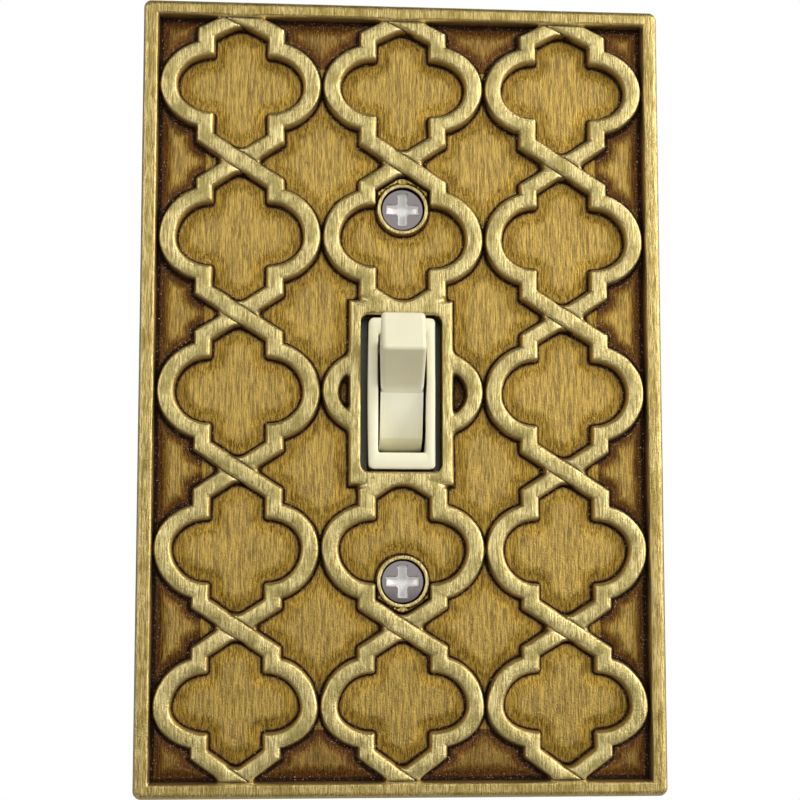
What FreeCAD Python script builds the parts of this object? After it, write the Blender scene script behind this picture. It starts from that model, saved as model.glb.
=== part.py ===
import FreeCAD, Part
import math
import os
import re
import Sketcher
from FreeCAD import Placement, Rotation, Vector

# Decorative wall plate cover for one toggle switch, with the switch it is screwed to.
# Millimetres.  X runs to the right, Z up, and the front faces -Y.
# The origin is the middle of the cover on the wall surface, which is the plane Y = 0.

doc = FreeCAD.newDocument("wall_plate_cover")
sheet = doc.addObject("Spreadsheet::Sheet", "sizes")
working = doc.addObject("Spreadsheet::Sheet", "working")

SIZES = (
    # cover plate casting
    ("plate_wide", 84.4, "cover width"),
    ("plate_tall", 128.0, "cover height"),
    ("plate_deep", 7.8, "wall to the top of the relief"),
    ("corner_round", 1.3, "outline corner radius"),
    ("edge_chamfer", 0.6, "chamfer of the outer front edge"),
    ("border_wide", 2.65, "raised border"),
    ("relief_deep", 2.5, "relief above the panels"),
    ("skin_thick", 1.6, "metal behind the panels"),
    ("wall_thick", 2.2, "side wall of the casting"),
    ("opening_wide", 13.2, "toggle opening width"),
    ("opening_tall", 25.4, "toggle opening height"),
    ("opening_round", 1.3, "toggle opening corner"),
    ("surround_wide", 16.9, "raised surround of the opening, width"),
    ("surround_tall", 30.2, "raised surround of the opening, height"),
    # ribbon lattice
    ("column_pitch", 26.35, "column to column"),
    ("row_pitch", 25.05, "row to row"),
    ("end_rise", 11.4, "last row to the apex at the border"),
    ("ribbon_wide", 2.7, "ribbon width"),
    ("ribbon_bevel", 0.4, "bevel along the ribbon edges"),
    ("bevel_deep", 0.5, "depth of that bevel"),
    ("shoulder_x", 5.75, "shoulder to the column axis"),
    ("shoulder_drop", 3.75, "crossing to the shoulder"),
    ("lobe_radius", 6.9, "ribbon centre line around a lobe"),
    ("lobe_shift", 4.75, "lobe centre to the column axis"),
    ("score_wide", 0.24, "line cut beside the upper strand"),
    ("score_deep", 0.35, "depth of that line"),
    ("score_long", 2.9, "length of that line"),
    # cover screws
    ("screw_apart", 60.325, "cover screws, centre to centre"),
    ("boss_radius", 4.3, "ring around a cover screw"),
    ("boss_high", 1.5, "ring above the panel"),
    ("post_radius", 4.3, "post behind a cover screw"),
    ("post_gap", 1.45, "wall plane to the end of the post"),
    ("bore_radius", 3.7, "sunk hole for the head"),
    ("clear_radius", 2.0, "clearance hole"),
    ("head_radius", 3.5, "flat head"),
    ("head_sunk", 6.3, "wall plane to the top of the head"),
    ("head_rim", 0.35, "edge of the flat head"),
    ("head_cone", 1.72, "82 degree cone under the rim"),
    ("small_crest", 1.75, "#6-32 thread crest radius"),
    ("small_root", 1.35, "#6-32 thread root radius"),
    ("thread_pitch", 0.794, "32 threads per inch"),
    ("cover_screw_long", 12.7, "half inch cover screw"),
    ("cross_reach", 2.35, "half length of the cross recess"),
    ("cross_half", 0.62, "half width of an arm"),
    ("cross_deep", 1.3, "depth of the cross recess"),
    # mounting strap
    ("strap_thick", 1.3, "strap sheet"),
    ("strap_tall", 106.0, "strap length"),
    ("strap_wide", 25.4, "middle of the strap"),
    ("middle_half", 36.0, "half height of the middle"),
    ("neck_wide", 17.0, "neck between middle and ear"),
    ("ear_from", 38.4, "centre to the start of an ear"),
    ("ear_wide", 33.0, "ear width"),
    ("ear_round", 3.0, "ear corner radius"),
    ("slot_apart", 83.34, "box screws, centre to centre"),
    ("slot_wide", 8.0, "box screw slot width"),
    ("slot_tall", 4.2, "box screw slot height"),
    ("window_wide", 10.9, "window for the collar, width"),
    ("window_tall", 24.9, "window for the collar, height"),
    ("thread_gap", 0.05, "running clearance at the cover screw threads"),
    ("break_x", 11.2, "score line of a break-off ear"),
    ("break_wide", 0.6, "score line width"),
    ("break_deep", 0.5, "score line depth"),
    ("tab_from", 28.5, "ground tab, near edge below centre"),
    ("tab_to", 35.5, "ground tab, far edge below centre"),
    ("tab_deep", 9.0, "ground tab behind the wall plane"),
    ("tab_screw_y", 5.0, "ground screw behind the wall plane"),
    # switch frame with its collar
    ("collar_wide", 10.4, "collar outside width"),
    ("collar_tall", 24.4, "collar outside height"),
    ("collar_front", 7.4, "wall plane to the collar face"),
    ("collar_round", 0.7, "collar outside corner"),
    ("throat_wide", 8.0, "throat width"),
    ("throat_tall", 19.2, "throat height"),
    ("flange_thick", 1.6, "frame flange"),
    ("lug_from", 4.1, "centre to the inner face of a lug"),
    ("lug_thick", 3.2, "bearing lug"),
    ("lug_half", 4.0, "half height of a lug"),
    ("lug_back", 5.6, "wall plane to the back of a lug"),
    # toggle lever
    ("pivot_y", 3.0, "pivot behind the wall plane"),
    ("rest_tilt", 23.0, "lever tilt at rest"),
    ("tip_reach", 22.5, "pivot to the tip face"),
    ("tip_half", 3.4, "half thickness at the tip"),
    ("root_half", 3.55, "half thickness at the root"),
    ("tip_wide", 6.95, "lever width"),
    ("shield_wide", 7.4, "barrel width"),
    ("barrel_radius", 9.4, "barrel radius"),
    ("knee_out", 7.1, "pivot to the barrel facet"),
    ("knee_half", 3.6, "half height of the facet start"),
    ("shield_angle", 70.7, "facet end, from the lever axis"),
    ("rear_angle", 62.0, "barrel end, from the tail axis"),
    ("pin_radius", 1.5, "trunnion radius"),
    ("pin_long", 13.0, "trunnion length"),
    ("pin_gap", 0.05, "trunnion running clearance"),
    ("tail_half", 3.0, "half size of the tail"),
    ("tail_reach", 11.0, "pivot to the tail end"),
    ("socket_radius", 2.1, "spring socket"),
    ("socket_from", 4.6, "pivot to the socket floor"),
    # plunger and spring
    ("wire_radius", 0.22, "spring wire radius"),
    ("coil_radius", 1.6, "spring mean radius"),
    ("coil_pitch", 0.9, "spring pitch"),
    ("coil_from", 4.9, "pivot to the first coil"),
    ("coil_high", 4.05, "spring length, end to end of the wire axis"),
    ("stem_radius", 1.1, "plunger stem"),
    ("stem_from", 6.4, "pivot to the stem end"),
    ("plunger_from", 9.3, "pivot to the plunger collar"),
    ("plunger_radius", 2.0, "plunger collar radius"),
    ("plunger_to", 11.6, "pivot to the end of the collar"),
    ("nose_radius", 1.2, "plunger nose radius"),
    ("nose_reach", 13.3, "pivot to the nose"),
    # see-saw contact lever
    ("rocker_y", 17.6, "see-saw pivot behind the wall plane"),
    ("rocker_tilt", 7.0, "see-saw tilt at rest"),
    ("rocker_wide", 5.0, "see-saw width"),
    ("rocker_thick", 0.8, "see-saw sheet"),
    ("cup_shift", 8.53, "see-saw pivot to the cup centre"),
    ("cup_radius", 7.52, "cup radius"),
    ("arm_out", 3.306, "see-saw pivot to the front of the arms"),
    ("arm_start", 5.41, "half height of the cup mouth"),
    ("arm_back_start", 5.74, "half height of the cup mouth, back"),
    ("arm_end", 13.6, "half length of the see-saw"),
    ("contact_z", 12.0, "contact below the see-saw pivot"),
    ("contact_radius", 1.8, "moving contact radius"),
    ("contact_thick", 0.9, "moving contact without its dome"),
    ("dome_high", 0.35, "dome of the moving contact"),
    ("dome_radius", 4.8, "radius of that dome"),
    ("fixed_front", 17.88, "wall plane to the fixed contact"),
    ("fixed_z", 12.5, "fixed contact below centre"),
    ("fixed_radius", 1.9, "fixed contact radius"),
    ("fixed_foot", 1.4, "fixed contact foot radius"),
    # housing
    ("base_wide", 31.0, "housing width"),
    ("base_tall", 54.0, "housing height"),
    ("base_back", 23.6, "wall plane to the housing back"),
    ("base_round", 1.6, "housing corner"),
    ("cavity_wide", 17.2, "cavity width"),
    ("cavity_tall", 33.2, "cavity height"),
    ("floor_y", 20.6, "wall plane to the cavity floor"),
    ("strip_thick", 0.8, "terminal strip"),
    ("side_x", 13.0, "terminal seat on the side"),
    ("side_y", 12.5, "terminal screws behind the wall plane"),
    ("side_z", 13.0, "terminal screws from centre"),
    ("side_half", 3.5, "half width of a terminal"),
    ("recess_half", 4.5, "half width of a side recess"),
    ("recess_from", 7.5, "wall plane to a side recess"),
    ("recess_to", 21.0, "wall plane to the end of that recess"),
    ("upright_from", 8.5, "wall plane to the terminal upright"),
    ("wire_x", 11.0, "push-in wire hole from centre"),
    ("wire_hole", 1.25, "push-in wire hole radius"),
    ("wire_to", 15.0, "wall plane to the end of that hole"),
    ("clip_from", 15.2, "wall plane to the clip pocket"),
    ("clip_half", 1.6, "half size of the clip pocket"),
    ("clip_wide", 2.9, "clip width"),
    # terminal and ground screws
    ("side_head", 3.6, "terminal screw head radius"),
    ("side_head_high", 2.2, "terminal screw head height"),
    ("side_crest", 2.0, "#8-32 thread crest radius"),
    ("side_root", 1.6, "#8-32 thread root radius"),
    ("side_long", 4.2, "terminal screw under its head"),
    ("ground_long", 6.4, "ground screw under its head"),
    ("side_bore", 2.3, "clearance in the housing for a terminal screw"),
    ("cut_half", 0.55, "half width of a driver slot"),
    ("cut_reach", 2.5, "half length of a driver slot"),
    ("cut_deep", 1.0, "driver slot depth"),
    # box screws and their washers
    ("box_head", 3.6, "box screw head radius"),
    ("box_head_high", 1.9, "box screw head height"),
    ("box_long", 19.05, "box screw under its head"),
    ("land_start", 2.62, "box screw seat to its plain land"),
    ("land_stop", 4.92, "box screw seat to the land's end"),
    ("washer_side", 8.0, "retaining washer side"),
    ("washer_thick", 0.8, "retaining washer thickness"),
    # rivets
    ("rivet_z", 20.0, "rivets from centre"),
    ("rivet_radius", 1.6, "rivet shank"),
    ("rivet_hole", 1.65, "rivet hole"),
    ("rivet_head", 2.6, "rivet head radius"),
    ("rivet_head_high", 0.6, "rivet head height"),
    ("rivet_bore", 0.9, "hollow end of a rivet"),
    ("rivet_bore_deep", 6.0, "depth of the hollow end"),
    ("rivet_sink", 0.8, "sunk seat at the housing back"),
    ("rivet_sink_radius", 2.9, "radius of that seat"),
    ("rivet_flare", 2.4, "flared end radius"),
    ("rivet_flare_high", 0.6, "flared end height"),
)
NAMES = set()
for row, (name, value, note) in enumerate(SIZES, 1):
    sheet.set("A%d" % row, name)
    sheet.set("B%d" % row, str(value))
    sheet.set("C%d" % row, note)
    sheet.setAlias("B%d" % row, name)
    NAMES.add(name)
doc.recompute()


def size(name):
    return float(sheet.get(name))


def bound(text):
    """the same formula with every size name pointing into the sheet"""
    def link(found):
        word = found.group()
        return "sizes." + word if word in NAMES else word
    return re.sub(r"[a-z][a-z_]*[a-z]", link, str(text))


def number(text):
    """the present value of a formula, worked out on a second sheet"""
    working.set("A1", "=" + bound(text))
    working.recompute()
    return float(working.get("A1"))


def new_body(label):
    body = doc.addObject("PartDesign::Body", label)
    body.Label = label
    return body


def new_sketch(body, role, lift="0"):
    """a sketch on one of the body's origin planes, lifted along that plane's normal"""
    sketch = body.newObject("Sketcher::SketchObject", body.Name + "_sketch")
    plane = [f for f in body.Origin.OriginFeatures if f.Role == role][0]
    sketch.AttachmentSupport = [(plane, "")]
    sketch.MapMode = "FlatFace"
    sketch.setExpression("AttachmentOffset.Base.z", bound(lift))
    return sketch


def fix(sketch, kind, where, text, start):
    spot = sketch.addConstraint(Sketcher.Constraint(kind, *where, start))
    sketch.setExpression("Constraints[%d]" % spot, bound(text))


def outline(sketch, corners, bends=()):
    """closed loop through corners; bends gives {side: (radius, turn)} for round sides"""
    bends = dict(bends)
    first = sketch.GeometryCount
    count = len(corners)
    spots = [Vector(number(a), number(b), 0) for a, b in corners]
    ends = {}
    for k in range(count):
        start, end = spots[k], spots[(k + 1) % count]
        if k not in bends:
            sketch.addGeometry(Part.LineSegment(start, end), False)
            ends[k] = (1, 2)
            continue
        radius, turn = bends[k]
        reach = number(radius)
        middle = (start + end) / 2
        half = (end - start).Length / 2
        across = Vector(-(end - start).y, (end - start).x, 0).normalize()
        centre = middle + across * turn * math.sqrt(max(reach * reach - half * half, 0))
        a0 = math.atan2(start.y - centre.y, start.x - centre.x)
        a1 = math.atan2(end.y - centre.y, end.x - centre.x)
        circle = Part.Circle(centre, Vector(0, 0, 1), reach)
        if turn > 0:
            sketch.addGeometry(Part.ArcOfCircle(circle, a0, a1), False)
            ends[k] = (1, 2)
        else:
            sketch.addGeometry(Part.ArcOfCircle(circle, a1, a0), False)
            ends[k] = (2, 1)
    for k in range(count):
        after = (k + 1) % count
        link = ("Coincident", first + k, ends[k][1], first + after, ends[after][0])
        sketch.addConstraint(Sketcher.Constraint(*link))
    for k, (across, up) in enumerate(corners):
        fix(sketch, "DistanceX", (first + k, ends[k][0]), across, spots[k].x)
        fix(sketch, "DistanceY", (first + k, ends[k][0]), up, spots[k].y)
    for k, (radius, turn) in bends.items():
        fix(sketch, "Radius", (first + k,), radius, number(radius))


def rectangle(sketch, wide, tall, x="0", z="0"):
    left, right = "%s - (%s) / 2" % (x, wide), "%s + (%s) / 2" % (x, wide)
    low, high = "%s - (%s) / 2" % (z, tall), "%s + (%s) / 2" % (z, tall)
    outline(sketch, [(left, low), (right, low), (right, high), (left, high)])


def disc(sketch, radius, x="0", z="0"):
    centre = Vector(number(x), number(z), 0)
    spot = sketch.addGeometry(Part.Circle(centre, Vector(0, 0, 1), number(radius)), False)
    fix(sketch, "DistanceX", (spot, 3), x, centre.x)
    fix(sketch, "DistanceY", (spot, 3), z, centre.y)
    fix(sketch, "Radius", (spot,), radius, number(radius))


def feature(kind, body, sketch, length, reverse=False, both=False):
    item = body.newObject("PartDesign::" + kind, sketch.Name + "_" + kind.lower())
    item.Profile = sketch
    item.SideType = "Symmetric" if both else "One side"
    item.Reversed = reverse
    item.setExpression("Length", bound(length))
    sketch.Visibility = False
    body.Tip = item
    doc.recompute()
    return item


def pad(body, sketch, length, reverse=False, both=False):
    return feature("Pad", body, sketch, length, reverse, both)


def pocket(body, sketch, length, reverse=False, both=False):
    """cuts away from the sketch, and makes sure that something was removed"""
    before = body.Shape.Volume
    item = feature("Pocket", body, sketch, length, reverse, both)
    if body.Shape.Volume > before - 1e-3:
        raise RuntimeError("nothing was cut in " + body.Label)
    return item


def turned(body, sketch):
    item = body.newObject("PartDesign::Revolution", sketch.Name + "_turned")
    item.Profile = sketch
    item.ReferenceAxis = (sketch, ["H_Axis"])
    item.Angle = 360
    body.Tip = item
    doc.recompute()
    return item


def soften(body, kind, amount, wanted):
    """fillet or chamfer on the edges whose bounding box passes the test"""
    last = body.Tip
    edges = enumerate(last.Shape.Edges, 1)
    names = ["Edge%d" % n for n, e in edges if wanted(e.BoundBox, e)]
    item = body.newObject("PartDesign::" + kind, body.Name + "_" + kind.lower())
    item.Base = (last, names)
    item.setExpression("Radius" if kind == "Fillet" else "Size", bound(amount))
    body.Tip = item
    doc.recompute()
    return item


def place(item, x="0", y="0", z="0", axis=(0, 0, 1), angle="0"):
    item.Placement = Placement(Vector(0, 0, 0), Rotation(Vector(*axis), 10))
    item.setExpression("Placement.Base.x", bound(x))
    item.setExpression("Placement.Base.y", bound(y))
    item.setExpression("Placement.Base.z", bound(z))
    item.setExpression("Placement.Rotation.Angle", bound(angle))
    doc.recompute()


def group(label, members):
    """identical pieces that share one node as separate solids"""
    item = doc.addObject("Part::Compound", label)
    item.Label = label
    item.Links = members
    return item


def along_y(box, edge):
    return box.YLength > 0.5 and box.XLength < 1e-3 and box.ZLength < 1e-3


# ---------------------------------------------------------------- fasteners

def thread(start, stop, crest, root):
    """ring threads from one station to another, as corners of a turned outline"""
    rings = int((number(stop) - number(start)) / size("thread_pitch"))
    corners = []
    for k in range(rings):
        corners.append(("%s + %d * thread_pitch" % (start, k), root))
        corners.append(("%s + %.1f * thread_pitch" % (start, k + 0.5), crest))
    corners.append(("%s + %d * thread_pitch" % (start, rings), root))
    return corners


def cross(sketch, reach, half):
    arms = []
    for a, b in ((1, 0), (0, 1), (-1, 0), (0, -1)):
        for side in (-1, 1):
            arms.append(("(%d) * %s + (%d) * %s" % (a, reach, -b * side, half),
                         "(%d) * %s + (%d) * %s" % (b, reach, a * side, half)))
        arms.append(("(%d) * %s" % (a - b, half), "(%d) * %s" % (a + b, half)))
    outline(sketch, arms)


def fastener(label, head, stop, crest, root, reach, half, deep, top):
    """a screw turned about Y with its head toward -Y and a cross recess"""
    body = new_body(label)
    sketch = new_sketch(body, "YZ_Plane")
    corners = head + thread(head[-1][0], stop + " - 0.9", crest, root)[1:]
    corners += [(stop, root + " * 0.6"), (stop, "0")]
    outline(sketch, corners)
    turned(body, sketch)
    recess = new_sketch(body, "XZ_Plane", "0 - (%s)" % top)
    cross(recess, reach, half)
    pocket(body, recess, deep)
    return body


def cover_screw(label, sign):
    neck = "head_rim + head_cone"
    head = [("0", "0"), ("0", "head_radius - 0.12"), ("0.12", "head_radius"),
            ("head_rim", "head_radius"), (neck, "small_crest"),
            (neck + " + 0.5", "small_crest"), (neck + " + 0.7", "small_root")]
    screw = fastener(label, head, "cover_screw_long", "small_crest", "small_root",
                     "cross_reach", "cross_half", "cross_deep", "0")
    place(screw, y="0 - head_sunk", z="(%d) * screw_apart / 2" % sign)
    return screw


def pan_screw(label, radius, high, stop, crest, root, land=()):
    head = [("0 - %s" % high, "0"), ("0 - %s" % high, "%s * 0.62" % radius),
            ("0 - %s * 0.75" % high, "%s * 0.86" % radius),
            ("0 - %s * 0.45" % high, radius), ("0", radius), ("0", crest)]
    if land:
        # a neck that the retaining washer hangs on, then a plain land of full thread size
        first, last = land
        head += [("0.25", root), ("%s - 0.2" % first, root), (first, crest),
                 (last, crest), ("%s + 0.2" % last, root)]
    else:
        head += [("0.3", crest), ("0.5", root)]
    return fastener(label, head, stop, crest, root,
                    "cut_reach", "cut_half", "cut_deep", "0 - %s" % high)


upper_screw = cover_screw("upper_cover_screw", 1)
lower_screw = cover_screw("lower_cover_screw", -1)

box_screws = []
washers = []
rivets = []
side_screws = []
clips = []
for sign, word in ((1, "upper"), (-1, "lower")):
    screw = pan_screw("box_screw_" + word, "box_head", "box_head_high", "box_long",
                      "small_crest", "small_root", ("land_start", "land_stop"))
    place(screw, y="0 - strap_thick - 0.02", z="(%d) * slot_apart / 2" % sign)
    box_screws.append(screw)

    washer = new_body("washer_" + word)
    face = new_sketch(washer, "XZ_Plane")
    rectangle(face, "washer_side", "washer_side")
    disc(face, "small_crest + thread_gap")
    pad(washer, face, "washer_thick", reverse=True)
    soften(washer, "Chamfer", "0.9", lambda box, e: along_y(box, e) and abs(box.XMin) > 3)
    place(washer, y="0.01", z="(%d) * slot_apart / 2" % sign)
    washers.append(washer)

    # a hollow-ended rivet holds strap, frame and housing together
    rivet = new_body("rivet_" + word)
    face = new_sketch(rivet, "YZ_Plane")
    head_top = "0 - strap_thick - rivet_head_high"
    seat = "base_back - rivet_sink"
    end = seat + " + rivet_flare_high"
    outline(face, [
        (head_top, "0"), (head_top, "rivet_head - 0.5"),
        ("0 - strap_thick - 0.2", "rivet_head"), ("0 - strap_thick", "rivet_head"),
        ("0 - strap_thick", "rivet_radius"), (seat, "rivet_radius"),
        (seat, "rivet_flare"), (seat + " + 0.3", "rivet_flare"),
        (end, "rivet_bore + 0.5"), (end, "rivet_bore"),
        (end + " - rivet_bore_deep", "rivet_bore"), (end + " - rivet_bore_deep - 0.5", "0"),
    ])
    turned(rivet, face)
    place(rivet, z="(%d) * rivet_z" % sign)
    rivets.append(rivet)

    screw = pan_screw("side_screw_" + word, "side_head", "side_head_high", "side_long",
                      "side_crest", "side_root")
    place(screw, x="side_x + strip_thick + 0.02", y="side_y",
          z="(%d) * side_z" % sign, angle="90")
    side_screws.append(screw)

    # a bent spring blade behind each push-in wire hole
    clip = new_body("clip_" + word)
    face = new_sketch(clip, "XY_Plane")
    foot = "floor_y - strip_thick - 0.05"
    outline(face, [
        ("wire_x - 1.3", foot), ("wire_x - 1.3", foot + " - 0.35"),
        ("wire_x + 0.8", foot + " - 0.35"), ("wire_x - 1.25", "clip_from + 0.7"),
        ("wire_x - 0.95", "clip_from + 0.5"), ("wire_x + 1.3", foot + " - 0.35"),
        ("wire_x + 1.3", foot),
    ])
    pad(clip, face, "clip_wide", both=True)
    hole = new_sketch(clip, "XZ_Plane", "0 - (%s)" % foot)
    disc(hole, "wire_hole - 0.15", "wire_x")
    pocket(clip, hole, "0.35", reverse=True)
    place(clip, z="(%d) * side_z" % sign)
    clips.append(clip)

group("mounting_screws", box_screws)
group("screw_retainers", washers)
group("assembly_rivets", rivets)
group("terminal_screws", side_screws)
group("push_in_clips", clips)

ground = pan_screw("ground_screw", "side_head", "side_head_high", "ground_long",
                   "side_crest", "side_root")
place(ground, x="0 - strap_wide / 2 - 0.02", y="tab_screw_y",
      z="0 - (tab_from + tab_to) / 2", angle="0 - 90")

# ------------------------------------------------------------ mounting strap

strap = new_body("mounting_strap")
face = new_sketch(strap, "XZ_Plane")
quarter = [("strap_wide / 2", "middle_half"), ("neck_wide / 2", "middle_half"),
           ("neck_wide / 2", "ear_from"), ("ear_wide / 2", "ear_from"),
           ("ear_wide / 2", "strap_tall / 2")]
around = list(quarter)
around += [("0 - " + x, z) for x, z in reversed(quarter)]
around += [("0 - " + x, "0 - " + z) for x, z in quarter]
around += [(x, "0 - " + z) for x, z in reversed(quarter)]
outline(face, around)
rectangle(face, "window_wide", "window_tall")
for sign in (1, -1):
    disc(face, "small_crest + thread_gap", "0", "(%d) * screw_apart / 2" % sign)
    disc(face, "rivet_hole", "0", "(%d) * rivet_z" % sign)
    middle = "(%d) * slot_apart / 2" % sign
    side = "(slot_wide - slot_tall) / 2"
    outline(face, [("0 - " + side, middle + " - slot_tall / 2"),
                   (side, middle + " - slot_tall / 2"),
                   (side, middle + " + slot_tall / 2"),
                   ("0 - " + side, middle + " + slot_tall / 2")],
            {1: ("slot_tall / 2 + 0.1", 1), 3: ("slot_tall / 2 + 0.1", 1)})
pad(strap, face, "strap_thick")
soften(strap, "Fillet", "ear_round",
       lambda box, e: along_y(box, e) and abs(box.XMin) > 16 and abs(box.ZMin) > 52)
tab = new_sketch(strap, "YZ_Plane", "0 - strap_wide / 2")
rectangle(tab, "tab_deep + strap_thick / 2", "tab_to - tab_from",
          "tab_deep / 2 - strap_thick / 4", "0 - (tab_from + tab_to) / 2")
pad(strap, tab, "strap_thick")
tapped = new_sketch(strap, "YZ_Plane", "0 - strap_wide / 2")
disc(tapped, "side_crest + 0.03", "tab_screw_y", "0 - (tab_from + tab_to) / 2")
pocket(strap, tapped, "strap_thick", reverse=True)
scores = new_sketch(strap, "XZ_Plane", "strap_thick")
for side in (1, -1):
    for sign in (1, -1):
        rectangle(scores, "break_wide", "strap_tall / 2 - ear_from + 2",
                  "(%d) * break_x" % side, "(%d) * (strap_tall / 2 + ear_from) / 2" % sign)
pocket(strap, scores, "break_deep")

# -------------------------------------------------- switch frame with collar

frame = new_body("switch_frame")
flange = new_sketch(frame, "XZ_Plane", "0 - 0.01")
rectangle(flange, "base_wide - 0.6", "base_tall - 0.6")
for sign in (1, -1):
    disc(flange, "rivet_hole", "0", "(%d) * rivet_z" % sign)
pad(frame, flange, "flange_thick - 0.02", reverse=True)
collar = new_sketch(frame, "XZ_Plane", "0 - 0.5")
rectangle(collar, "collar_wide", "collar_tall")
pad(frame, collar, "collar_front + 0.5")
soften(frame, "Fillet", "collar_round",
       lambda box, e: along_y(box, e) and box.YMin < -3 and abs(box.XMin) < 6)
for side in (1, -1):
    start = "lug_from" if side > 0 else "0 - lug_from - lug_thick"
    lug = new_sketch(frame, "YZ_Plane", start)
    outline(lug, [("flange_thick - 0.5", "0 - lug_half"), ("lug_back - 1.2", "0 - lug_half"),
                  ("lug_back", "0 - lug_half + 1.2"), ("lug_back", "lug_half - 1.2"),
                  ("lug_back - 1.2", "lug_half"), ("flange_thick - 0.5", "lug_half")])
    pad(frame, lug, "lug_thick")
throat = new_sketch(frame, "XZ_Plane", "collar_front")
rectangle(throat, "throat_wide", "throat_tall")
pocket(frame, throat, "collar_front + flange_thick")
bearing = new_sketch(frame, "YZ_Plane")
disc(bearing, "pin_radius + pin_gap", "pivot_y")
pocket(frame, bearing, "ear_wide", both=True)
soften(frame, "Fillet", "0.35",
       lambda box, e: box.YMax < 0.01 - size("collar_front") and box.YLength < 1e-3)

# ------------------------------------------------------------- toggle lever

lever = new_body("toggle_lever")
barrel = new_sketch(lever, "YZ_Plane")
facet = ("0 - barrel_radius * cos(shield_angle)", "barrel_radius * sin(shield_angle)")
rear = ("barrel_radius * cos(rear_angle)", "barrel_radius * sin(rear_angle)")
outline(barrel, [
    ("0 - knee_out", "0 - knee_half"), (facet[0], "0 - " + facet[1]),
    (rear[0], "0 - " + rear[1]), rear, facet, ("0 - knee_out", "knee_half"),
], {1: ("barrel_radius", 1), 3: ("barrel_radius", 1)})
pad(lever, barrel, "shield_wide", both=True)
arm = new_sketch(lever, "YZ_Plane")
outline(arm, [
    ("0 - tip_reach", "0 - tip_half"), ("0", "0 - root_half - 0.2"),
    ("0", "root_half + 0.2"), ("0 - tip_reach", "tip_half"),
])
pad(lever, arm, "tip_wide", both=True)
tail = new_sketch(lever, "YZ_Plane")
rectangle(tail, "tail_reach", "2 * tail_half", "tail_reach / 2")
pad(lever, tail, "2 * tail_half", both=True)
pin = new_sketch(lever, "YZ_Plane")
disc(pin, "pin_radius")
pad(lever, pin, "pin_long", both=True)
socket = new_sketch(lever, "XZ_Plane", "0 - tail_reach")
disc(socket, "socket_radius")
pocket(lever, socket, "tail_reach - socket_from", reverse=True)
soften(lever, "Fillet", "0.7",
       lambda box, e: box.YMax < -8 or (box.YMin < -20 and box.XLength < 0.1))
place(lever, y="pivot_y", axis=(1, 0, 0), angle="0 - rest_tilt")

# --------------------------------------------------------- spring and plunger

turns = Part.makeLongHelix(size("coil_pitch"), size("coil_high"), size("coil_radius"))
section = Part.makeCircle(size("wire_radius"), Vector(size("coil_radius"), 0, 0),
                          Vector(0, 1, 0))
winding = Part.BRepOffsetAPI.MakePipeShell(Part.Wire(turns.Edges))
winding.setFrenetMode(True)
winding.add(Part.Wire(section))
winding.build()
winding.makeSolid()
spring = doc.addObject("Part::Feature", "plunger_spring")
spring.Label = "plunger_spring"
spring.Shape = winding.shape()
place(spring, y="pivot_y + coil_from * cos(rest_tilt)", z="0 - coil_from * sin(rest_tilt)",
      axis=(1, 0, 0), angle="0 - 90 - rest_tilt")

plunger = new_body("contact_plunger")
face = new_sketch(plunger, "YZ_Plane")
outline(face, [
    ("stem_from", "0"), ("stem_from", "stem_radius - 0.2"),
    ("stem_from + 0.2", "stem_radius"), ("plunger_from", "stem_radius"),
    ("plunger_from", "plunger_radius"), ("plunger_to", "plunger_radius"),
    ("nose_reach - nose_radius", "nose_radius"), ("nose_reach", "0"),
], {6: ("nose_radius", -1)})
turned(plunger, face)
place(plunger, y="pivot_y", axis=(1, 0, 0), angle="0 - rest_tilt")

# ------------------------------------------------------ see-saw and contacts

rocker = new_body("contact_rocker")
face = new_sketch(rocker, "YZ_Plane")
front, back = "0 - arm_out", "0 - arm_out + rocker_thick"
outline(face, [
    (front, "0 - arm_end"), (front, "0 - arm_start"), (front, "arm_start"),
    (front, "arm_end"), (back, "arm_end"), (back, "arm_back_start"),
    (back, "0 - arm_back_start"), (back, "0 - arm_end"),
], {1: ("cup_radius", 1), 5: ("cup_radius + rocker_thick", -1)})
pad(rocker, face, "rocker_wide", both=True)
soften(rocker, "Fillet", "1.0", lambda box, e: (
    box.YLength > 0.5 and box.XLength < 1e-3 and box.ZLength < 1e-3 and abs(box.ZMin) > 13))
place(rocker, y="rocker_y", axis=(1, 0, 0), angle="rocker_tilt")

moving = new_body("moving_contact")
face = new_sketch(moving, "YZ_Plane")
flat = "0 - arm_out + rocker_thick + contact_thick"
outline(face, [(back, "0"), (back, "contact_radius"), (flat, "contact_radius"),
               (flat + " + dome_high", "0")], {2: ("dome_radius", -1)})
turned(moving, face)
place(moving, y="rocker_y + contact_z * sin(rocker_tilt)",
      z="0 - contact_z * cos(rocker_tilt)", axis=(1, 0, 0), angle="rocker_tilt")

fixed = new_body("fixed_contact")
face = new_sketch(fixed, "YZ_Plane")
strip_front = "floor_y - strip_thick"
outline(face, [("fixed_front", "0"), ("fixed_front", "fixed_radius - 0.2"),
               ("fixed_front + 0.2", "fixed_radius"), ("fixed_front + 1", "fixed_radius"),
               ("fixed_front + 1", "fixed_foot"), (strip_front, "fixed_foot"),
               (strip_front, "0")])
turned(fixed, face)
place(fixed, z="0 - fixed_z")

# ---------------------------------------------------------------- terminals

near, far = "side_z - side_half", "side_z + side_half"
edge = "side_x + strip_thick"


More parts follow.
